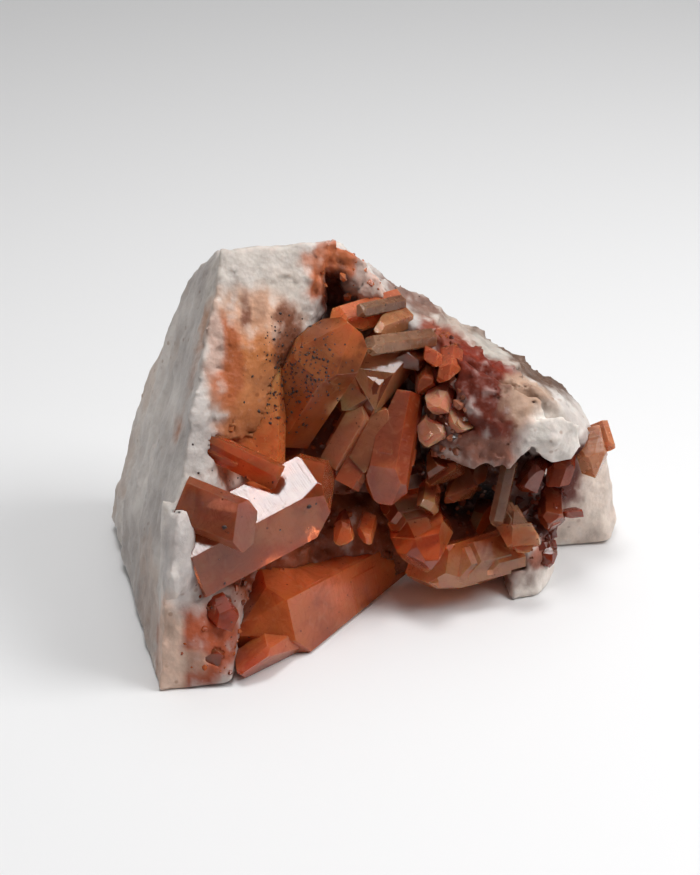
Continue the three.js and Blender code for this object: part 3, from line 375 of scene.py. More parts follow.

# places on the crystals where the film or the rust differs, and two patches of painted light on the floor crystals:
# centre, radii, colour, strength
ZONES = [
    # painted light: the top face of the floor crystals made a brighter orange, standing in for the light that falls on
    # it
    ([-8.84, -15.49, 19.27], [24.0, 20.0, 7.0], (158, 82, 56), 0.9),
    ([-26.53, -37.49, 16.44], [8.0, 8.0, 6.0], (140, 58, 34), 0.7),
    ([-25.67, -41.49, 6.01], [8.0, 6.0, 6.0], (118, 50, 28), 0.7),
    ([-15.91, -31.49, 11.28], [16.0, 10.0, 9.0], (132, 74, 44), 0.7),
    # painted light: the right end of the floor crystals' front face made brighter, standing in for the light on it
    ([3.07, -7.49, 10.33], [17.0, 16.0, 11.0], (172, 82, 58), 0.9),
    ([-37.39, -31.49, 44.32], [10.0, 6.0, 8.0], (108, 74, 72), 0.85),
    ([-31.79, -33.49, 35.44], [16.0, 8.0, 9.0], (120, 74, 60), 0.8),
    ([-18.08, -25.49, 35.83], [10.0, 7.0, 5.0], (152, 106, 84), 0.75),
    ([-35, -29.49, 50.12], [14.0, 5.0, 3.0], (112, 62, 38), 0.7),
    ([-5.14, 0.51, 70.09], [5.0, 5.0, 8.0], (134, 82, 56), 0.7),
    ([-16.01, -1.49, 56.22], [8.0, 8.0, 8.0], (116, 56, 30), 0.6),
    ([-5.88, -3.49, 53.74], [4.0, 5.0, 4.0], (156, 124, 104), 0.8),
    ([15.52, -15.49, 23.65], [10.0, 8.0, 8.0], (130, 60, 30), 0.7),
    ([28.18, -9.49, 19.72], [14.0, 7.0, 5.0], (136, 74, 42), 0.7),
    ([22.02, -13.49, 12], [18.0, 8.0, 5.0], (152, 116, 102), 0.75),
    ([34.53, -11.49, 12.14], [9.0, 8.0, 7.0], (156, 124, 112), 0.7),
    ([4.45, -13.49, 40.38], [4.0, 5.0, 6.0], (136, 80, 56), 0.6),
]

ZONES_PALE = [
    ([-27.91, -9.49, 48.32], [12.0, 8.0, 8.0], (138, 78, 48), 0.7),
    ([-27.32, -3.49, 62.77], [9.0, 8.0, 14.0], (150, 96, 64), 0.6),
]

# rougher and smoother places on the rock: centre, radii, how much
ROUGH = [
    ([28.69, 22.51, 60.18], [40.0, 14.0, 14.0], 0.5),
    ([30.14, 0.51, 50.94], [20.0, 14.0, 15.0], 0.3),
    ([-3.95, 15.51, 80.62], [13.0, 10.0, 10.0], 0.6),
    ([-39.55, -37.49, 8.31], [14.0, 13.0, 16.0], -0.6),
    ([46.36, 0.51, 43.63], [10.0, 9.0, 10.0], -0.6),
    ([59.3, 22.51, 12.9], [16.0, 18.0, 20.0], -0.25),
    ([-26.61, -3.49, 62.77], [18.0, 12.0, 26.0], -0.45),
    ([-36.04, 0.51, 79.36], [7.0, 9.0, 10.0], 0.25),
    ([-37.92, -9.49, 68.65], [7.0, 9.0, 11.0], 0.3),
    ([-38.08, -18.49, 54.91], [7.0, 8.0, 10.0], 0.2),
]

# small crystals on the pocket walls: centre, radii, number, size, lean, colours
DRUSE = [
    ([46.59, 8.51, 20.11], [13, 10, 12], 60, 1.9, 0.8, (80, 28, 18), (124, 52, 34)),
    ([26.54, 8.51, 24.6], [12, 12, 11], 90, 1.2, 0.9, (72, 38, 26), (124, 74, 52)),
    ([18.11, 2.51, 48.42], [8, 10, 12], 60, 1.3, 0.9, (72, 38, 26), (176, 112, 86)),
    ([15.78, 12.51, 59.76], [8, 8, 8], 40, 1.3, 0.8, (80, 28, 18), (165, 90, 52)),
    ([2.19, 8.51, 57.71], [8, 10, 10], 40, 1.1, 0.8, (120, 56, 30), (165, 90, 52)),
    ([-16.15, -1.49, 45.07], [14, 10, 8], 26, 0.9, 0.8, (120, 56, 30), (165, 90, 52)),
    ([-7.66, -5.49, 24.49], [12, 10, 8], 18, 1, 0.8, (120, 56, 30), (165, 90, 52)),
    ([13.63, 2.51, 25.34], [9, 12, 10], 50, 1, 0.8, (72, 38, 26), (165, 90, 52)),
    ([-27.79, -27.49, 21.55], [12, 10, 7], 16, 0.9, 0.8, (120, 56, 30), (165, 90, 52)),
    ([-35.89, -37.49, 11.23], [10, 9, 12], 18, 0.9, 0.8, (140, 62, 30), (176, 96, 54)),
    ([-3.46, 15.51, 80.09], [10, 8, 7], 24, 0.9, 0.8, (140, 72, 42), (180, 104, 64)),
    ([34.19, 2.51, 13.37], [10, 10, 9], 40, 1, 0.8, (72, 38, 26), (165, 90, 52)),
]

# black specks: about where, spread, number, size
SPECKS = [
    ([-15.92, -1.49, 63.05], [4.5, 3, 6], 230, 0.25),
    ([-19.75, 0.51, 52.34], [3, 3, 4], 60, 0.3),
    ([-21.95, 2.51, 67.71], [2, 3, 5], 30, 0.3),
    ([-11.13, -1.49, 63.05], [4, 3, 5], 40, 0.22),
    ([-8.7, -0.49, 70.6], [3, 3, 3], 10, 0.2),
    ([-32.64, -35.49, 41.69], [0.3, 0.3, 0.3], 2, 0.38),
    ([-20.44, -31.49, 38.29], [0.3, 0.3, 0.3], 1, 0.45),
    ([-13.79, -25.49, 40.83], [0.3, 0.3, 0.3], 1, 0.42),
    ([-11.71, -23.49, 41.24], [0.3, 0.3, 0.3], 1, 0.36),
    ([-40.43, -37.49, 27.25], [0.3, 0.3, 0.3], 1, 0.4),
    ([-33.87, -35.49, 25.59], [0.3, 0.3, 0.3], 1, 0.4),
    ([-36.61, -33.49, 17.93], [0.3, 0.3, 0.3], 1, 0.45),
    ([-32.04, -21.49, 48.54], [4, 3, 2], 8, 0.25),
    ([-23.14, -23.49, 45.37], [2, 2, 1], 5, 0.28),
    ([7.11, 18.51, 73.25], [6, 3, 2], 8, 0.3),
    ([-30.12, -35.49, 9.78], [4, 3, 5], 14, 0.22),
]

RHOMB = math.radians(51.8)      # c-axis to a point face's normal
VOXEL = 0.80                    # mm, pitch of the rock's surface
KEEP_IN = 0.35                  # mm that the rock reaches into a crystal it holds
GAIN = 3.4                      # how much brighter a crystal's body is than its shaded side
RUST = np.array([0.93, 0.78, 0.55])     # and how much rustier than the sheen on it lets it look

# ------------------------------------------------------------------ noise
_rng = np.random.default_rng(20)
_TAB = _rng.random(64 * 64 * 64).astype(np.float32)


def _lat(i, j, k):
    return _TAB[((i & 63) << 12) | ((j & 63) << 6) | (k & 63)]


def vnoise(p):
    """smooth lattice noise, -1 to 1, for points (n, 3)"""
    i = np.floor(p).astype(np.int32)
    f = (p - i).astype(np.float32)
    u = f * f * (3.0 - 2.0 * f)
    x, y, z = i[:, 0], i[:, 1], i[:, 2]
    ux, uy, uz = u[:, 0], u[:, 1], u[:, 2]
    out = 0.0
    for dx in (0, 1):
        wx = ux if dx else 1 - ux
        for dy in (0, 1):
            wy = uy if dy else 1 - uy
            for dz in (0, 1):
                wz = uz if dz else 1 - uz
                out = out + wx * wy * wz * _lat(x + dx, y + dy, z + dz)
    return 2.0 * out - 1.0


def fbm(p, scale, octaves=4, seed=0.0, gain=0.5):
    q = np.asarray(p, np.float32) / scale + np.float32(seed * 17.31 + 101.7)
    a, s, t = 1.0, 0.0, 0.0
    for o in range(octaves):
        s = s + a * vnoise(q + o * 5.17)
        t += a
        a *= gain
        q = q * 2.03
    return s / t


def cells(p, scale, seed=0):
    """nearest feature point of a jittered lattice: distance to it, to the next one,
    and a tilted-plane value, which is what makes broken flat facets"""
    q = np.asarray(p, np.float32) / scale + np.float32(40.0 + seed * 3.7)
    b = np.floor(q).astype(np.int32)
    f1 = np.full(len(q), 9.0, np.float32)
    f2 = np.full(len(q), 9.0, np.float32)
    tilt = np.zeros(len(q), np.float32)
    rnd = np.zeros(len(q), np.float32)
    for d in itertools.product((-1, 0, 1), repeat=3):
        c = b + np.array(d, np.int32)
        x, y, z = c[:, 0], c[:, 1], c[:, 2]
        o = np.stack([_lat(x, y, z), _lat(x + 17, y + 5, z + 31), _lat(x + 41, y + 23, z + 7)], 1)
        v = q - (c + o)
        r = np.sqrt((v * v).sum(1))
        g = np.stack([_lat(x + 3, y + 51, z + 11), _lat(x + 29, y + 13, z + 47), _lat(x + 57, y + 37, z + 19)], 1) - 0.5
        near = r < f1
        f2 = np.where(near, f1, np.minimum(f2, r))
        tilt = np.where(near, (v * g).sum(1), tilt)
        rnd = np.where(near, _lat(x + 9, y + 9, z + 9), rnd)
        f1 = np.where(near, r, f1)
    return f1, f2, tilt * 2.0, rnd


def smooth(a, b, x):
    t = np.clip((x - a) / (b - a), 0, 1)
    return t * t * (3 - 2 * t)


def lin(r, g, b):
    """sRGB 0-255 to linear"""
    c = np.array([r, g, b], float) / 255.0
    return np.where(c <= 0.04045, c / 12.92, ((c + 0.055) / 1.055) ** 2.4)


# ------------------------------------------------------------------ solids from planes
def crystal_planes(c, grow=0.0):
    base, tip = np.array(c["base"], float), np.array(c["tip"], float)
    a = tip - base
    a /= np.linalg.norm(a)
    e1 = np.array(c["face"], float)
    e1 -= (e1 @ a) * a
    e1 /= np.linalg.norm(e1)
    e2 = np.cross(a, e1)
    pl = []
    for k in range(6):
        m = math.cos(k * math.pi / 3) * e1 + math.sin(k * math.pi / 3) * e2
        pl.append((m, m @ base + c["d"][k] + grow))
    for k in range(6):
        m = math.cos(k * math.pi / 3) * e1 + math.sin(k * math.pi / 3) * e2
        n = math.sin(RHOMB) * m + math.cos(RHOMB) * a
        pl.append((n, n @ tip + c["t"][k] + grow))
    pl.append((-a, -a @ base + grow))
    pl.append((a, a @ tip + c["top"] + grow))
    for n, p in c.get("breaks", []):
        n = np.array(n, float) / np.linalg.norm(n)
        pl.append((n, n @ np.array(p, float) + grow))
    return pl


def polyhedron(planes):
    n = np.array([p[0] for p in planes])
    d = np.array([p[1] for p in planes])
    pts = []
    for t in itertools.combinations(range(len(planes)), 3):
        m = n[list(t)]
        if abs(np.linalg.det(m)) < 1e-5:
            continue
        x = np.linalg.solve(m, d[list(t)])
        if (n @ x <= d + 1e-5).all():
            if not any(np.linalg.norm(x - q) < 1e-3 for q in pts):
                pts.append(x)
    pts = np.array(pts)
    faces = []
    for i in range(len(planes)):
        on = np.where(np.abs(pts @ n[i] - d[i]) < 2e-3)[0]
        if len(on) < 3:
            continue
        c = pts[on].mean(0)
        u = pts[on[0]] - c
        u /= np.linalg.norm(u)
        w = np.cross(n[i], u)
        ang = np.arctan2((pts[on] - c) @ w, (pts[on] - c) @ u)
        faces.append([int(v) for v in on[np.argsort(ang)]])
    return pts, faces


def hull_planes(points):
    bm = bmesh.new()
    for p in points:
        bm.verts.new(p)
    r = bmesh.ops.convex_hull(bm, input=bm.verts)
    pts = np.array(points, float)
    c = pts.mean(0)
    pl = []
    for f in bm.faces:
        v = [np.array(x.co, float) for x in f.verts]
        n = np.cross(v[1] - v[0], v[2] - v[0])
        ln = np.linalg.norm(n)
        if ln < 1e-6:
            continue
        n /= ln
        if n @ (c - v[0]) > 0:
            n = -n
        d = n @ v[0]
        if (pts @ n - d).max() > 0.05:
            continue
        if not any(abs(d - d2) < 0.02 and n @ n2 > 0.9999 for n2, d2 in pl):
            pl.append((n, d))
    bm.free()
    return pl


# ------------------------------------------------------------------ the rock as a field
LO = np.array([-70.5, -46.5, -1.6])
HI = np.array([70.5, 46.5, 94.0])
NX, NY, NZ = (np.ceil((HI - LO) / VOXEL).astype(int) + 1)
GX = (LO[0] + VOXEL * np.arange(NX)).astype(np.float32)
GY = (LO[1] + VOXEL * np.arange(NY)).astype(np.float32)
GZ = (LO[2] + VOXEL * np.arange(NZ)).astype(np.float32)


def region(lo, hi):
    s = []
    for g, a, b in zip((GX, GY, GZ), lo, hi):
        i0 = max(int(np.searchsorted(g, a)) - 1, 0)
        i1 = min(int(np.searchsorted(g, b)) + 1, len(g))
        s.append(slice(i0, i1))
    return tuple(s)


def convex_field(planes, reg):
    x = GX[reg[0]][:, None, None]
    y = GY[reg[1]][None, :, None]
    z = GZ[reg[2]][None, None, :]
    f = None
    for n, d in planes:
        v = (np.float32(n[0]) * x + np.float32(n[1]) * y) + (np.float32(n[2]) * z - np.float32(d))
        f = v if f is None else np.maximum(f, v)
    return f


def smin(a, b, k):
    h = np.maximum(k - np.abs(a - b), 0) / k
    return np.minimum(a, b) - h * h * k * 0.25


def rock_field():
    f = np.full((NX, NY, NZ), 8.0, np.float32)
    for name, pts in LUMPS.items():
        pts = np.array(pts, float)
        reg = region(pts.min(0) - 5, pts.max(0) + 5)
        f[reg] = smin(f[reg], convex_field(hull_planes(pts), reg), 1.6)
    # broken surface, only worked out near it
    near = np.abs(f) < 4.5
    ii = np.argwhere(near)
    p = np.stack([GX[ii[:, 0]], GY[ii[:, 1]], GZ[ii[:, 2]]], 1)
    d = rock_relief(p)
    f[near] += d
    # sockets
    for c in CRYSTALS.values():
        pl = crystal_planes(c, -KEEP_IN)
        v, _ = polyhedron(pl)
        reg = region(v.min(0) - 2, v.max(0) + 2)
        f[reg] = np.maximum(f[reg], -convex_field(pl, reg))
    # stands flat
    f = np.maximum(f, (0.03 - GZ)[None, None, :])
    return f


def zone(p, c, r, wob=0.0, soft=0.5):
    """1 inside an ellipsoid of centre c and radii r, falling to 0 past it"""
    e = np.sqrt((((p - np.array(c, np.float32)) / np.array(r, np.float32)) ** 2).sum(1))
    return 1.0 - smooth(1.0 - soft, 1.0 + soft, e + wob)


def inner(p):
    """how far a point is inside the pocket rather than on the outside of the rock"""
    m = np.zeros(len(p), np.float32)
    for c, r in POCKET:
        m = np.maximum(m, zone(p, c, r, 0.0, 0.35))
    return m


def rock_relief(p):
    pk = inner(p)
    big = fbm(p, 17.0, 3, 1)
    mid = fbm(p, 5.0, 3, 2)
    _, _, tilt, _ = cells(p + 1.5 * np.stack([mid, big, mid], 1), 9.0, 1)
    f1, f2, tilt2, _ = cells(p, 3.1, 2)
    fine = fbm(p, 1.7, 2, 3)
    # grain of the tall wall: long flutes that run up it
    g = np.array([0.22, 0.30, 0.93])
    along = p @ g
    q = p - along[:, None] * g
    flute = fbm(q + (0.10 * along)[:, None] * g, 5.2, 4, 4)
    left = smooth(-22.0, -38.0, p[:, 0]) * (1 - pk)
    out = 0.9 * big + 0.45 * mid + 0.95 * tilt * (0.9 - 0.5 * left)
    out = out + (1 - pk) * 0.30 * tilt2 * (1 - 0.6 * left) + 1.25 * left * flute
    out = out + pk * (0.75 * tilt2 + 0.35 * (f1 - 0.45)) + (0.12 + 0.22 * pk) * fine
    for ctr, rad, amp in ROUGH:
        w = zone(p, ctr, rad, 0.0, 0.3) * amp
        out = out + w * (0.9 * tilt2 + 0.25 * (f1 - 0.45) + 0.5 * fine + 0.9 * tilt + 0.5 * mid)
    # less at the foot, so that it still stands
    return out * (0.35 + 0.65 * smooth(0.0, 5.0, p[:, 2]))


def surface_nets(f):
    ins = f < 0
    s = np.zeros((NX - 1, NY - 1, NZ - 1), np.int8)
    cor = list(itertools.product((0, 1), repeat=3))
    for a, b, c in cor:
        s += ins[a:NX - 1 + a, b:NY - 1 + b, c:NZ - 1 + c]
    mixed = (s > 0) & (s < 8)
    idx = np.full(mixed.shape, -1, np.int32)
    cell = np.argwhere(mixed)
    idx[mixed] = np.arange(len(cell))
    val = {c: f[cell[:, 0] + c[0], cell[:, 1] + c[1], cell[:, 2] + c[2]] for c in cor}
    pos = np.zeros((len(cell), 3), np.float32)
    cnt = np.zeros(len(cell), np.float32)
    for a in cor:
        for ax in range(3):
            if a[ax]:
                continue
            b = tuple(1 if i == ax else a[i] for i in range(3))
            fa, fb = val[a], val[b]
            x = (fa < 0) != (fb < 0)
            t = np.where(x, fa / np.where(x, fa - fb, 1), 0)
            for i in range(3):
                pos[:, i] += np.where(x, a[i] + (b[i] - a[i]) * t, 0)
            cnt += x
    pos = (cell + pos / cnt[:, None]) * VOXEL + LO
    quads = []
    for ax in range(3):
        u, v = (ax + 1) % 3, (ax + 2) % 3
        sl0 = [slice(None)] * 3
        sl1 = [slice(None)] * 3
        sl0[ax] = slice(0, -1)
        sl1[ax] = slice(1, None)
        e = np.argwhere(ins[tuple(sl0)] != ins[tuple(sl1)])
        ok = (e[:, u] > 0) & (e[:, v] > 0) & (e[:, u] < mixed.shape[u]) & (e[:, v] < mixed.shape[v])
        e = e[ok]
        first = ins[e[:, 0], e[:, 1], e[:, 2]]

        def at(du, dv):
            c = e.copy()
            c[:, u] += du
            c[:, v] += dv
            return idx[c[:, 0], c[:, 1], c[:, 2]]
        q = np.stack([at(-1, -1), at(0, -1), at(0, 0), at(-1, 0)], 1)
        q[~first] = q[~first][:, ::-1]
        quads.append(q)
    quads = np.concatenate(quads)
    quads = quads[(quads >= 0).all(1)]
    return pos, quads


def biggest(pos, quads):
    lab = np.arange(len(pos))
    e = np.concatenate([quads[:, [0, 1]], quads[:, [1, 2]], quads[:, [2, 3]]])
    while True:
        m = np.minimum(lab[e[:, 0]], lab[e[:, 1]])
        new = lab.copy()
        np.minimum.at(new, e[:, 0], m)
        np.minimum.at(new, e[:, 1], m)
        for _ in range(6):
            new = new[new]
        if (new == lab).all():
            break
        lab = new
    ids, cnt = np.unique(lab, return_counts=True)
    keep = lab == ids[cnt.argmax()]
    remap = np.cumsum(keep) - 1
    q = quads[keep[quads].all(1)]
    return pos[keep], remap[q]


def vert_normals(pos, quads):
    a = pos[quads[:, 2]] - pos[quads[:, 0]]
    b = pos[quads[:, 3]] - pos[quads[:, 1]]
    n = np.cross(a, b)
    out = np.zeros_like(pos)
    for i in range(4):
        np.add.at(out, quads[:, i], n)
    return out / (np.linalg.norm(out, axis=1, keepdims=True) + 1e-9)


# ------------------------------------------------------------------ mesh helpers
def new_mesh(name, verts_mm, faces, flat=True):
    me = bpy.data.meshes.new(name)
    v = (np.asarray(verts_mm, np.float32) * MM)
    f = faces
    if isinstance(f, np.ndarray):
        n, k = f.shape
        me.vertices.add(len(v))
        me.vertices.foreach_set("co", v.ravel())
        me.loops.add(n * k)
        me.loops.foreach_set("vertex_index", f.astype(np.int32).ravel())
        me.polygons.add(n)
        me.polygons.foreach_set("loop_start", np.arange(0, n * k, k, dtype=np.int32))
        me.update(calc_edges=True)
    else:
        me.from_pydata([tuple(x) for x in v.tolist()], [], f)
        me.update()
    me.polygons.foreach_set("use_smooth", np.full(len(me.polygons), not flat))
    me.update()
    return me


def new_object(name, me):
    ob = bpy.data.objects.new(name, me)
    bpy.context.scene.collection.objects.link(ob)
    return ob


def point_color(me, name, rgb):
    at = me.color_attributes.new(name, "FLOAT_COLOR", "POINT")
    c = np.ones((len(rgb), 4), np.float32)
    c[:, :3] = rgb
    at.data.foreach_set("color", c.ravel())


def corner_color(me, name, rgb):
    at = me.color_attributes.new(name, "FLOAT_COLOR", "CORNER")
    c = np.ones((len(rgb), 4), np.float32)
    c[:, :3] = rgb
    at.data.foreach_set("color", c.ravel())


def corner_vec(me, name, v):
    at = me.attributes.new(name, "FLOAT_VECTOR", "CORNER")
    at.data.foreach_set("vector", np.asarray(v, np.float32).ravel())


# ------------------------------------------------------------------ materials
class Nodes:
    def __init__(self, name):
        self.mat = bpy.data.materials.new(name)
        self.mat.use_nodes = True
        self.t = self.mat.node_tree
        self.t.nodes.clear()
        self.out = self.add("ShaderNodeOutputMaterial")
        self.p = self.add("ShaderNodeBsdfPrincipled")
        self.link(self.p.outputs[0], self.out.inputs["Surface"])

    def add(self, kind, **kw):
        n = self.t.nodes.new(kind)
        for k, v in kw.items():
            setattr(n, k, v)
        return n

    def link(self, a, b):
        self.t.links.new(a, b)

    def put(self, sock, v):
        if isinstance(v, bpy.types.NodeSocket):
            self.link(v, sock)
        elif v is not None:
            sock.default_value = v

    def obj(self):
        return self.add("ShaderNodeTexCoord").outputs["Object"]

    def attr(self, name, out="Color"):
        return self.add("ShaderNodeAttribute", attribute_name=name).outputs[out]

    def noise(self, vec, scale, detail=4.0, rough=0.55, dist=0.0, out="Fac"):
        n = self.add("ShaderNodeTexNoise")
        self.put(n.inputs["Vector"], vec)
        n.inputs["Scale"].default_value = scale
        n.inputs["Detail"].default_value = detail
        n.inputs["Roughness"].default_value = rough
        n.inputs["Distortion"].default_value = dist
        return n.outputs[out]

    def voro(self, vec, scale, feature="F1", out="Distance"):
        n = self.add("ShaderNodeTexVoronoi", feature=feature)
        self.put(n.inputs["Vector"], vec)
        n.inputs["Scale"].default_value = scale
        return n.outputs[out]

    def math(self, op, a, b=None, c=None, clamp=False):
        n = self.add("ShaderNodeMath", operation=op, use_clamp=clamp)
        self.put(n.inputs[0], a)
        self.put(n.inputs[1], b)
        if c is not None:
            self.put(n.inputs[2], c)
        return n.outputs[0]

    def vmath(self, op, a, b=None, out=0):
        n = self.add("ShaderNodeVectorMath", operation=op)
        self.put(n.inputs[0], a)
        if b is not None:
            self.put(n.inputs[1], b)
        return n.outputs[out]

    def ramp(self, v, a, b, lo=0.0, hi=1.0):
        n = self.add("ShaderNodeMapRange", interpolation_type="SMOOTHSTEP")
        self.put(n.inputs["Value"], v)
        for k, x in (("From Min", a), ("From Max", b), ("To Min", lo), ("To Max", hi)):
            n.inputs[k].default_value = x
        return n.outputs["Result"]

    def mix(self, f, a, b, mode="MIX"):
        n = self.add("ShaderNodeMix", data_type="RGBA", blend_type=mode)
        self.put(n.inputs[0], f)
        for s, v in ((n.inputs[6], a), (n.inputs[7], b)):
            if isinstance(v, bpy.types.NodeSocket):
                self.link(v, s)
            else:
                s.default_value = (v[0], v[1], v[2], 1.0)
        return n.outputs[2]

    def bump(self, h, strength, dist, normal=None):
        n = self.add("ShaderNodeBump")
        n.inputs["Strength"].default_value = strength
        n.inputs["Distance"].default_value = dist
        self.put(n.inputs["Height"], h)
        if normal is not None:
            self.link(normal, n.inputs["Normal"])
        return n.outputs[0]

    def set(self, **kw):
        for k, v in kw.items():
            self.put(self.p.inputs[k.replace("_", " ")], v)


def rock_material():
    m = Nodes("milky_quartz")
    o = m.obj()
    base = m.attr("col")
    wet = m.attr("mask", "Vector")
    sep = m.add("ShaderNodeSeparateXYZ")
    m.link(wet, sep.inputs[0])
    pocket, glaze = sep.outputs[0], sep.outputs[1]
    # cloudy milkiness, fine grain and thin dirty cracks
    cloud = m.noise(o, 150.0, 5.0, 0.6, 0.4)
    grain = m.noise(o, 1100.0, 3.0, 0.6)
    c = m.mix(m.ramp(cloud, 0.35, 0.68, 0.0, 0.55), base, m.mix(0.75, base, (0.55, 0.50, 0.50), "MULTIPLY"))
    c = m.mix(m.ramp(grain, 0.56, 0.80, 0.0, 0.16), c, m.mix(0.5, base, (0.85, 0.82, 0.80)))
    spot = m.math("MULTIPLY", m.ramp(m.voro(o, 330.0), 0.24, 0.12), m.ramp(m.noise(o, 60.0, 3.0), 0.50, 0.62))
    c = m.mix(m.math("MULTIPLY", spot, 0.5), c, m.mix(1.0, base, (0.42, 0.26, 0.18), "MULTIPLY"))
    crack = m.voro(m.vmath("ADD", o, m.vmath("SCALE", m.noise(o, 220.0, 3.0, 0.6, 0.0, "Color"), None)), 170.0, "DISTANCE_TO_EDGE")
    c = m.mix(m.ramp(crack, 0.0, 0.025, 0.16, 0.0), c, (0.30, 0.20, 0.16))
    m.set(Base_Color=c, IOR=1.50)
    m.p.inputs["Specular IOR Level"].default_value = 0.22
    m.p.inputs["Subsurface Weight"].default_value = 0.18
    m.p.inputs["Subsurface Radius"].default_value = (0.0022, 0.0014, 0.0011)
    m.p.inputs["Subsurface Scale"].default_value = 1.0
    r = m.math("MULTIPLY_ADD", m.noise(o, 420.0, 3.0), 0.35, 0.30)
    r = m.math("SUBTRACT", r, m.math("MULTIPLY", glaze, 0.22))
    m.set(Roughness=r)
    h = m.math("ADD", m.math("MULTIPLY", m.noise(o, 520.0, 6.0, 0.65), 0.6), m.math("MULTIPLY", m.voro(o, 900.0), 0.35))
    m.set(Normal=m.bump(h, 0.55, 0.0006))
    return m.mat


def crystal_material(name, trans, rough, sss, radius, absorb, density, zones=(), cloud=0.5, lines=0.6):
    m = Nodes(name)
    o = m.obj()
    c = m.attr("tint")
    cx = m.attr("cx", "Vector")           # along the c-axis, across the face, kind of face
    sep = m.add("ShaderNodeSeparateXYZ")
    m.link(cx, sep.inputs[0])
    s, w, kind = sep.outputs
    n1 = m.noise(o, 120.0, 3.0, 0.6, 0.8)
    n2 = m.noise(o, 560.0, 2.0, 0.65)
    n3 = m.noise(o, 240.0, 2.0, 0.5, 1.6)
    # places where the film or the rust on the faces differs, and painted light where some faces are made brighter
    wob = m.math("MULTIPLY_ADD", n1, 1.1, -0.55)
    for ctr, rad, rgb, k in zones:
        d = m.vmath("SUBTRACT", o, tuple(x * MM for x in ctr))
        d = m.vmath("DIVIDE", d, tuple(x * MM for x in rad))
        d = m.math("ADD", m.vmath("LENGTH", d, out="Value"), wob)
        c = m.mix(m.ramp(d, 1.30, 0.55, 0.0, k), c, tuple(np.clip(GAIN * RUST * lin(*rgb), 0, 0.95)))
    # rusty clouds and veils inside
    dark = m.mix(1.0, c, (0.62, 0.48, 0.42), "MULTIPLY")
    pale = m.mix(0.30, c, (0.85, 0.42, 0.22))
    c = m.mix(m.ramp(n1, 0.46, 0.66, 0.0, cloud), c, dark)
    c = m.mix(m.ramp(n3, 0.44, 0.26, 0.0, 0.45), c, pale)
    veil = m.math("ABSOLUTE", m.math("SUBTRACT", n3, 0.5))
    c = m.mix(m.ramp(veil, 0.022, 0.0, 0.0, 0.35), c, dark)
    # flecks of iron oxide
    v1 = m.voro(o, 520.0)
    fl = m.math("MULTIPLY", m.ramp(v1, 0.20, 0.10), m.ramp(n2, 0.52, 0.62))
    c = m.mix(m.math("MULTIPLY", fl, 0.75), c, (0.045, 0.014, 0.009))
    m.set(Base_Color=c, IOR=1.544)
    m.p.inputs["Transmission Weight"].default_value = trans
    m.p.inputs["Specular IOR Level"].default_value = 0.36
    m.p.inputs["Subsurface Weight"].default_value = sss
    m.p.inputs["Subsurface Radius"].default_value = radius
    m.p.inputs["Subsurface Scale"].default_value = 1.0
    m.set(Roughness=m.ramp(m.noise(o, 300.0, 2.0, 0.65), 0.35, 0.70, rough * 0.5, rough * 1.8))
    # growth lines across the prism faces, fine etching on all of them
    comb = m.add("ShaderNodeCombineXYZ")
    m.put(comb.inputs[0], m.math("MULTIPLY", s, 1300.0))
    m.put(comb.inputs[1], m.math("MULTIPLY", w, 70.0))
    m.put(comb.inputs[2], kind)
    line = m.noise(comb.outputs[0], 1.0, 3.0, 0.6)
    h = m.math("ADD", m.math("MULTIPLY", line, lines), m.math("MULTIPLY", m.noise(o, 700.0, 3.0, 0.65), 0.30))
    h = m.math("ADD", h, m.math("MULTIPLY", m.noise(o, 140.0, 2.0), 0.5))
    m.set(Normal=m.bump(h, 0.26, 0.0005))
    if absorb is not None:
        v = m.add("ShaderNodeVolumeAbsorption")
        v.inputs["Color"].default_value = (*absorb, 1.0)
        v.inputs["Density"].default_value = density
        m.link(v.outputs[0], m.out.inputs["Volume"])
    return m.mat


def grain_material(name, rough, sss):
    """for small crystals and grains: their colour is in the mesh"""
    m = Nodes(name)
    o = m.obj()
    c = m.attr("tint")
    n = m.noise(o, 700.0, 4.0, 0.6)
    c = m.mix(m.ramp(n, 0.42, 0.66, 0.0, 0.6), c, m.mix(1.0, c, (0.45, 0.33, 0.28), "MULTIPLY"))
    m.set(Base_Color=c, IOR=1.54)
    m.p.inputs["Subsurface Weight"].default_value = sss
    m.p.inputs["Subsurface Radius"].default_value = (0.0016, 0.0006, 0.0003)
    m.p.inputs["Subsurface Scale"].default_value = 1.0
    m.set(Roughness=m.ramp(m.noise(o, 420.0, 3.0), 0.35, 0.7, rough * 0.6, rough * 1.6))
    m.set(Normal=m.bump(m.noise(o, 1300.0, 4.0, 0.6), 0.35, 0.0002))
    return m.mat


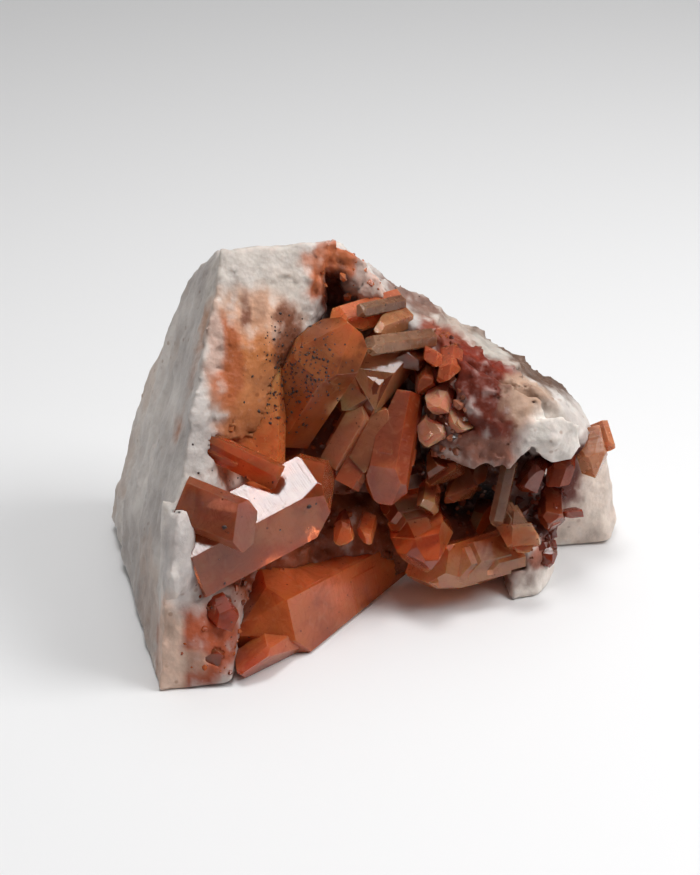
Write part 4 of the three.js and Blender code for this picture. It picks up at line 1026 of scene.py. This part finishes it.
# ------------------------------------------------------------------ the rock
def paint(pos, nor):
    n1 = fbm(pos, 9.0, 4, 11)
    n2 = fbm(pos, 2.6, 3, 12)
    n3 = fbm(pos, 26.0, 2, 13)
    a, b = lin(226, 218, 211), lin(188, 180, 175)
    k = smooth(-0.35, 0.45, 0.6 * n1 + 0.5 * n3)[:, None]
    col = a * (1 - k) + b * k
    # faint iron stain all over the outside
    k = (smooth(0.18, 0.55, n1 * 0.7 - n3 * 0.5) * 0.35)[:, None]
    col = col * (1 - k) + lin(206, 172, 146) * k
    mask = np.zeros((len(pos), 3), np.float32)
    mask[:, 0] = inner(pos)
    # iron stains and one painted shadow in a deep hole, streaked the way the rock runs and patchy inside
    g = np.array([0.22, 0.30, 0.93])
    along = pos @ g
    streak = fbm(pos - (0.82 * along)[:, None] * g, 2.2, 3, 14)
    patchy = 1.0 - 0.45 * smooth(0.15, 0.50, 0.7 * n2 + 0.6 * streak)
    for c, r, rgb, strength, wob in STAINS:
        w = zone(pos, c, r, wob * (0.7 * n1 + 0.6 * n2 + 0.5 * streak), 0.26) * strength * patchy
        t = lin(*rgb) * (1.0 + 0.30 * n2 + 0.16 * n1 + 0.22 * streak)[:, None]
        col = col * (1 - w[:, None]) + np.clip(t, 0, 1) * w[:, None]
    return np.clip(col, 0, 1), mask


def make_rock():
    pos, quads = surface_nets(rock_field())
    pos, quads = biggest(pos, quads)
    pos[:, 2] = np.maximum(pos[:, 2], 0.02)
    nor = vert_normals(pos, quads)
    me = new_mesh("matrix_rock", pos, quads, flat=False)
    col, mask = paint(pos, nor)
    point_color(me, "col", col)
    at = me.attributes.new("mask", "FLOAT_VECTOR", "POINT")
    at.data.foreach_set("vector", mask.ravel())
    me.materials.append(rock_material())
    ob = new_object("matrix_rock", me)
    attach(ob, "root")
    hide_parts("matrix")
    return ob, pos, nor, quads


# ------------------------------------------------------------------ the crystals
def solid_object(name, planes, bevel):
    v, f = polyhedron(planes)
    bm = bmesh.new()
    vs = [bm.verts.new(tuple(x * MM)) for x in v]
    for g in f:
        try:
            bm.faces.new([vs[i] for i in g])
        except ValueError:
            pass
    bmesh.ops.recalc_face_normals(bm, faces=bm.faces)
    bmesh.ops.dissolve_degenerate(bm, dist=0.00003, edges=bm.edges)
    if bevel > 0:
        bmesh.ops.bevel(bm, geom=list(bm.edges), offset=bevel * MM, segments=2, profile=0.6, affect="EDGES", clamp_overlap=True)
    bmesh.ops.remove_doubles(bm, verts=bm.verts, dist=0.000002)
    me = bpy.data.meshes.new(name)
    bm.to_mesh(me)
    bm.free()
    return new_object(name, me)


def chips(c, rng, planes, count):
    """small breaks on corners and edges, more of them towards the tip"""
    pts, _ = polyhedron(planes)
    base, tip = np.array(c["base"], float), np.array(c["tip"], float)
    a = (tip - base) / np.linalg.norm(tip - base)
    along = (pts - base) @ a
    w = np.exp(2.2 * (along - along.min()) / (np.ptp(along) + 1e-6))
    w /= w.sum()
    size = min(c["d"])
    out = []
    for _ in range(count):
        q = pts[rng.choice(len(pts), p=w)]
        on = [n for n, d in planes if abs(n @ q - d) < 2e-3]
        n = np.mean(on, 0) + 0.38 * rng.normal(size=3)
        n /= np.linalg.norm(n)
        out.append((n, n @ q - size * rng.uniform(0.03, 0.15)))
    return out


def plates(c, rng, count):
    """thin growth layers that stop short on a prism face"""
    base, tip = np.array(c["base"], float), np.array(c["tip"], float)
    a = tip - base
    ln = np.linalg.norm(a)
    a /= ln
    out = []
    for _ in range(count):
        k = int(rng.integers(6))
        g = {**c, "d": list(c["d"]), "t": list(c["t"])}
        rise = rng.uniform(0.12, 0.30)
        g["d"][k] += rise
        for j in range(6):
            if j != k:
                g["d"][j] -= rng.uniform(0.25, 0.9) + (rng.uniform(0.0, 0.35) * c["d"][j] if j in ((k + 1) % 6, (k + 5) % 6) else 0.3)
        for j in range(6):
            g["t"][j] -= 0.25
        s0, s1 = sorted(rng.uniform(0.05, 0.95, 2))
        if s1 - s0 < 0.25:
            s1 = min(s0 + 0.35, 1.0)
        g["base"] = list(base + a * ln * s0)
        g["tip"] = list(base + a * ln * s1)
        if min(g["d"]) < 0.4:
            continue
        out.append(g)
    return out


def make_group(name, members, mat, bevel=0.16):
    rng = np.random.default_rng(sum(ord(ch) for ch in name))
    parts = []
    for n in members:
        c = CRYSTALS[n]
        size = min(c["d"])
        pl = crystal_planes(c)
        pl += chips(c, rng, pl, 7 if size > 5 else 6 if size > 2.5 else 3)
        parts.append(solid_object("tmp_" + n, pl, min(bevel, 0.05 * size + 0.03)))
        if size > 2.8 and n != "mirror":
            for i, g in enumerate(plates(c, rng, 4 if size > 5 else 3)):
                parts.append(solid_object("tmp_%s_%d" % (n, i), crystal_planes(g), 0.05))
    ob = parts[0]
    ob.name = name + "_look"
    if len(parts) > 1:
        coll = bpy.data.collections.new("cut_" + name)
        for p in parts[1:]:
            coll.objects.link(p)
        md = ob.modifiers.new("join", "BOOLEAN")
        md.operation = "UNION"
        md.operand_type = "COLLECTION"
        md.collection = coll
        md.solver = "MANIFOLD"
        dg = bpy.context.evaluated_depsgraph_get()
        me = bpy.data.meshes.new_from_object(ob.evaluated_get(dg))
        ob.modifiers.clear()
        old = ob.data
        ob.data = me
        bpy.data.meshes.remove(old)
        for p in parts[1:]:
            m = p.data
            bpy.data.objects.remove(p)
            bpy.data.meshes.remove(m)
        bpy.data.collections.remove(coll)
    me = ob.data
    me.name = name + "_look"
    dress(me, members)
    me.materials.clear()
    me.materials.append(mat)
    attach(ob, "root")
    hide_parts(name)
    return ob


def dress(me, members):
    """per corner: place along the crystal and across its face, and its colour"""
    npoly = len(me.polygons)
    cen = np.zeros(npoly * 3, np.float32)
    nor = np.zeros(npoly * 3, np.float32)
    me.polygons.foreach_get("center", cen)
    me.polygons.foreach_get("normal", nor)
    cen = cen.reshape(-1, 3).astype(float) / MM
    nor = nor.reshape(-1, 3).astype(float)
    best = np.full(npoly, 1e9)
    owner = np.zeros(npoly, int)
    face = np.zeros(npoly, int)
    for i, n in enumerate(members):
        for k, (pn, d) in enumerate(crystal_planes(CRYSTALS[n])):
            e = np.abs(cen @ pn - d) + 3.0 * (1 - nor @ pn)
            v = e < best
            best[v], owner[v], face[v] = e[v], i, k
    nl = len(me.loops)
    vi = np.zeros(nl, np.int32)
    me.loops.foreach_get("vertex_index", vi)
    co = np.zeros(len(me.vertices) * 3, np.float32)
    me.vertices.foreach_get("co", co)
    co = co.reshape(-1, 3).astype(float)[vi] / MM
    tot = np.zeros(npoly, np.int32)
    me.polygons.foreach_get("loop_total", tot)
    start = np.zeros(npoly, np.int32)
    me.polygons.foreach_get("loop_start", start)
    lp = np.zeros(nl, int)
    for p in range(npoly):
        lp[start[p]:start[p] + tot[p]] = p
    own, fac = owner[lp], face[lp]
    cx = np.zeros((nl, 3))
    tint = np.zeros((nl, 3))
    for i, n in enumerate(members):
        c = CRYSTALS[n]
        v = own == i
        if not v.any():
            continue
        base, tip = np.array(c["base"]), np.array(c["tip"])
        a = tip - base
        ln = np.linalg.norm(a)
        a = a / ln
        s = (co[v] - base) @ a
        pl = crystal_planes(c)
        w = np.zeros(v.sum())
        fv = fac[v]
        for k in range(len(pl)):
            m = fv == k
            if m.any():
                t = np.cross(a, pl[k][0])
                t = t / (np.linalg.norm(t) + 1e-9)
                w[m] = co[v][m] @ t
        cx[v, 0] = s * MM
        cx[v, 1] = w * MM
        cx[v, 2] = (fv % 14) * 3.7 + i * 1.3
        c0, c1 = GAIN * RUST * lin(*TINT[n][0]), GAIN * RUST * lin(*TINT[n][1])
        k = smooth(0.1, 1.0, s / ln)[:, None]
        tn = c0 * (1 - k) + c1 * k
        # each face has its own tone: some clearer, some with a greyish film
        fr = np.random.default_rng(sum(ord(ch) for ch in n))
        tone = fr.uniform(0.85, 1.25, len(pl))[fv][:, None]
        film = (fr.random(len(pl)) ** 2 * 0.20)[fv][:, None]
        tint[v] = (tn * (1 - film) + np.array([0.40, 0.18, 0.11]) * film) * tone
    corner_vec(me, "cx", cx)
    corner_color(me, "tint", np.clip(tint, 0, 1))


# ------------------------------------------------------------------ druse and specks
def in_crystal(p, grow=0.0):
    hit = np.zeros(len(p), bool)
    for c in CRYSTALS.values():
        f = np.full(len(p), -1e9)
        for n, d in crystal_planes(c, grow):
            np.maximum(f, p @ n - d, out=f)
        hit |= f < 0
    return hit


def grow_druse(pos, nor):
    """small crystals that stand on the walls of the pocket, one joined mesh"""
    rng = np.random.default_rng(5)
    verts, tris, tint = [], [], []
    put = np.zeros((0, 4))
    nv = 0
    for ctr, rad, count, size, lean, ca, cb in DRUSE:
        idx = np.where(zone(pos, ctr, rad, 0.0, 0.2) > 0.5)[0]
        idx = idx[~in_crystal(pos[idx] + 0.7 * nor[idx])]
        idx = rng.permutation(idx)
        made = 0
        for i in idx:
            if made >= count:
                break
            r = size * (0.45 + 0.9 * rng.random() ** 1.6)
            p = pos[i].astype(float) - 0.5 * r * nor[i]
            if len(put) and (np.linalg.norm(put[:, :3] - p, axis=1) < 0.85 * (put[:, 3] + r)).any():
                continue
            put = np.vstack([put, [*p, r]])
            a = nor[i] + lean * rng.normal(size=3) * 0.6
            a /= np.linalg.norm(a)
            e1 = np.cross(a, rng.normal(size=3))
            e1 /= np.linalg.norm(e1)
            e2 = np.cross(a, e1)
            h = r * rng.uniform(0.0, 0.9)
            ang = np.arange(6) * math.pi / 3 + rng.normal(size=6) * 0.10
            rr = r * rng.uniform(0.72, 1.15, 6)
            ring = (np.cos(ang) * rr)[:, None] * e1 + (np.sin(ang) * rr)[:, None] * e2
            top = h + r * rng.uniform(-0.22, 0.22, 6)
            apex = p + a * (h + r * rng.uniform(0.55, 1.15)) + e1 * r * rng.uniform(-0.35, 0.35) + e2 * r * rng.uniform(-0.3, 0.3)
            verts += [*(p - a * 0.5 * r + ring * 0.9), *(p + a * top[:, None] + ring), apex]
            for k in range(6):
                j = (k + 1) % 6
                tris += [(nv + k, nv + j, nv + 6 + j), (nv + k, nv + 6 + j, nv + 6 + k), (nv + 6 + k, nv + 6 + j, nv + 12)]
            tris += [(nv, nv + k + 1, nv + k) for k in range(1, 5)]
            t = rng.random()
            col = (lin(*ca) * (1 - t) + lin(*cb) * t) * rng.uniform(0.75, 1.25)
            tint += [col] * 13
            nv += 13
            made += 1
    v = np.array(verts)
    v[:, 2] = np.maximum(v[:, 2], 0.02)
    me = new_mesh("pocket_druse", v, np.array(tris), flat=True)
    point_color(me, "tint", np.clip(np.array(tint), 0, 0.95))
    me.materials.append(grain_material("druse_quartz", 0.16, 0.45))
    ob = new_object("pocket_druse", me)
    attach(ob, "root")
    return ob


def scatter_specks(carriers):
    """black grains of iron oxide that sit on the crystal faces, one joined mesh"""
    rng = np.random.default_rng(8)
    dg = bpy.context.evaluated_depsgraph_get()
    trees = [BVHTree.FromObject(ob, dg) for ob in carriers]
    eye = Vector(CAMERA) * MM
    bm = bmesh.new()
    bmesh.ops.create_icosphere(bm, subdivisions=1, radius=1.0)
    ball = np.array([v.co[:] for v in bm.verts])
    btri = np.array([[v.index for v in f.verts] for f in bm.faces])
    bm.free()
    verts, tris, nv = [], [], 0
    for at, spread, count, size in SPECKS:
        for _ in range(count):
            p = np.array(at) + np.array(spread) * rng.normal(size=3)
            d = (Vector(p) * MM - eye).normalized()
            best = None
            for tr in trees:
                loc, n, _, dist = tr.ray_cast(eye, d)
                if loc is not None and (best is None or dist < best[2]):
                    best = (loc, n, dist)
            if best is None:
                continue
            loc, n = np.array(best[0]) / MM, np.array(best[1])
            r = size * (0.5 + 1.0 * rng.random() ** 2)
            e1 = np.cross(n, rng.normal(size=3))
            e1 /= np.linalg.norm(e1)
            e2 = np.cross(n, e1)
            b = ball * r * rng.uniform(0.7, 1.3, (len(ball), 1))
            v = loc + b[:, :1] * e1 * rng.uniform(0.8, 1.5) + b[:, 1:2] * e2 + b[:, 2:] * n * 0.5
            verts += [*v]
            tris += [*(btri + nv)]
            nv += len(v)
    me = new_mesh("iron_specks", np.array(verts), np.array(tris), flat=False)
    point_color(me, "tint", np.tile(lin(46, 26, 22), (nv, 1)))
    me.materials.append(grain_material("iron_oxide", 0.35, 0.0))
    ob = new_object("iron_specks", me)
    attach(ob, "root")
    return ob


# ------------------------------------------------------------------ build
rock, rpos, rnor, rquads = make_rock()

# the cloudier of the orange groups
HAZY = ("floor_crystals", "bed_crystals", "speckled_crystal", "sugary_crystals", "blade_crystals")
MATS = {
    "orange": crystal_material("hematoid_quartz", 0.72, 0.07, 0.9, (0.0060, 0.0022, 0.0010), (0.90, 0.60, 0.40), 8.0, ZONES, 0.4),
    "hazy": crystal_material("hazy_hematoid_quartz", 0.40, 0.08, 0.9, (0.0060, 0.0022, 0.0010), (0.90, 0.60, 0.40), 8.0, ZONES, 0.4),
    "red": crystal_material("dark_hematoid_quartz", 0.60, 0.08, 0.6, (0.0035, 0.0008, 0.0005), (0.62, 0.18, 0.10), 60.0, (), 0.7),
    "pale": crystal_material("pale_quartz", 0.35, 0.22, 0.8, (0.0040, 0.0024, 0.0016), (0.90, 0.66, 0.50), 20.0, ZONES_PALE),
}
grown = []
for gname, members, mkey, slot in GROUPS:
    grown.append(make_group(gname, members, MATS["hazy" if gname in HAZY else mkey]))
grow_druse(rpos, rnor)
scatter_specks(grown + [rock])

# ------------------------------------------------------------------ stage, light, camera
floor = new_object("floor", new_mesh("floor", [[-3000, -3000, 0], [3000, -3000, 0], [3000, 3000, 0], [-3000, 3000, 0]], [[0, 1, 2, 3]]))
fm = Nodes("floor_white")
fm.set(Base_Color=(0.81, 0.81, 0.815, 1.0), Roughness=0.7)
floor.data.materials.append(fm.mat)

world = bpy.data.worlds.new("studio")
bpy.context.scene.world = world
world.use_nodes = True
wt = world.node_tree
bg = wt.nodes["Background"]
tc = wt.nodes.new("ShaderNodeTexCoord")
sx = wt.nodes.new("ShaderNodeSeparateXYZ")
wt.links.new(tc.outputs["Generated"], sx.inputs[0])


def sky(sock, a, b, lo, hi):
    n = wt.nodes.new("ShaderNodeMapRange")
    n.interpolation_type = "SMOOTHSTEP"
    wt.links.new(sock, n.inputs["Value"])
    for k, x in (("From Min", a), ("From Max", b), ("To Min", lo), ("To Max", hi)):
        n.inputs[k].default_value = x
    return n.outputs["Result"]


# a dim room: the light comes from above, from behind and from the right
add = wt.nodes.new("ShaderNodeMath")
add.operation = "ADD"
wt.links.new(sky(sx.outputs[2], 0.35, 1.0, 0.07, 0.30), add.inputs[0])
wt.links.new(sky(sx.outputs[1], 0.0, 1.0, 0.0, 0.16), add.inputs[1])
wt.links.new(add.outputs[0], bg.inputs[1])
bg.inputs[0].default_value = (1.0, 0.995, 0.99, 1.0)


def area(name, loc, size, power, target=(0, 0, 40), color=(1, 1, 1)):
    li = bpy.data.lights.new(name, "AREA")
    li.shape = "RECTANGLE"
    li.size, li.size_y = size
    li.energy = power
    li.color = color
    ob = bpy.data.objects.new(name, li)
    bpy.context.scene.collection.objects.link(ob)
    ob.location = Vector(loc) * MM
    d = Vector(target) * MM - ob.location
    ob.rotation_euler = d.to_track_quat("-Z", "Y").to_euler()
    return ob


area("softbox", (-42, -37, 650), (0.17, 0.17), 1.5, target=(-42, -37, 0))
area("ceiling", (160, 180, 1100), (1.2, 1.2), 3.6)
area("key", (460, -60, 520), (0.32, 0.32), 2.8)

cam = bpy.data.cameras.new("camera")
cam.sensor_width = 36.0
cam.lens = 36.0 * 1900.0 / 875.0
co = bpy.data.objects.new("camera", cam)
bpy.context.scene.collection.objects.link(co)
co.location = Vector(CAMERA) * MM
co.rotation_euler = (math.radians(60.0), 0.0, 0.0)
bpy.context.scene.camera = co
bpy.context.scene.view_settings.view_transform = "Standard"
bpy.context.scene.view_settings.look = "None"
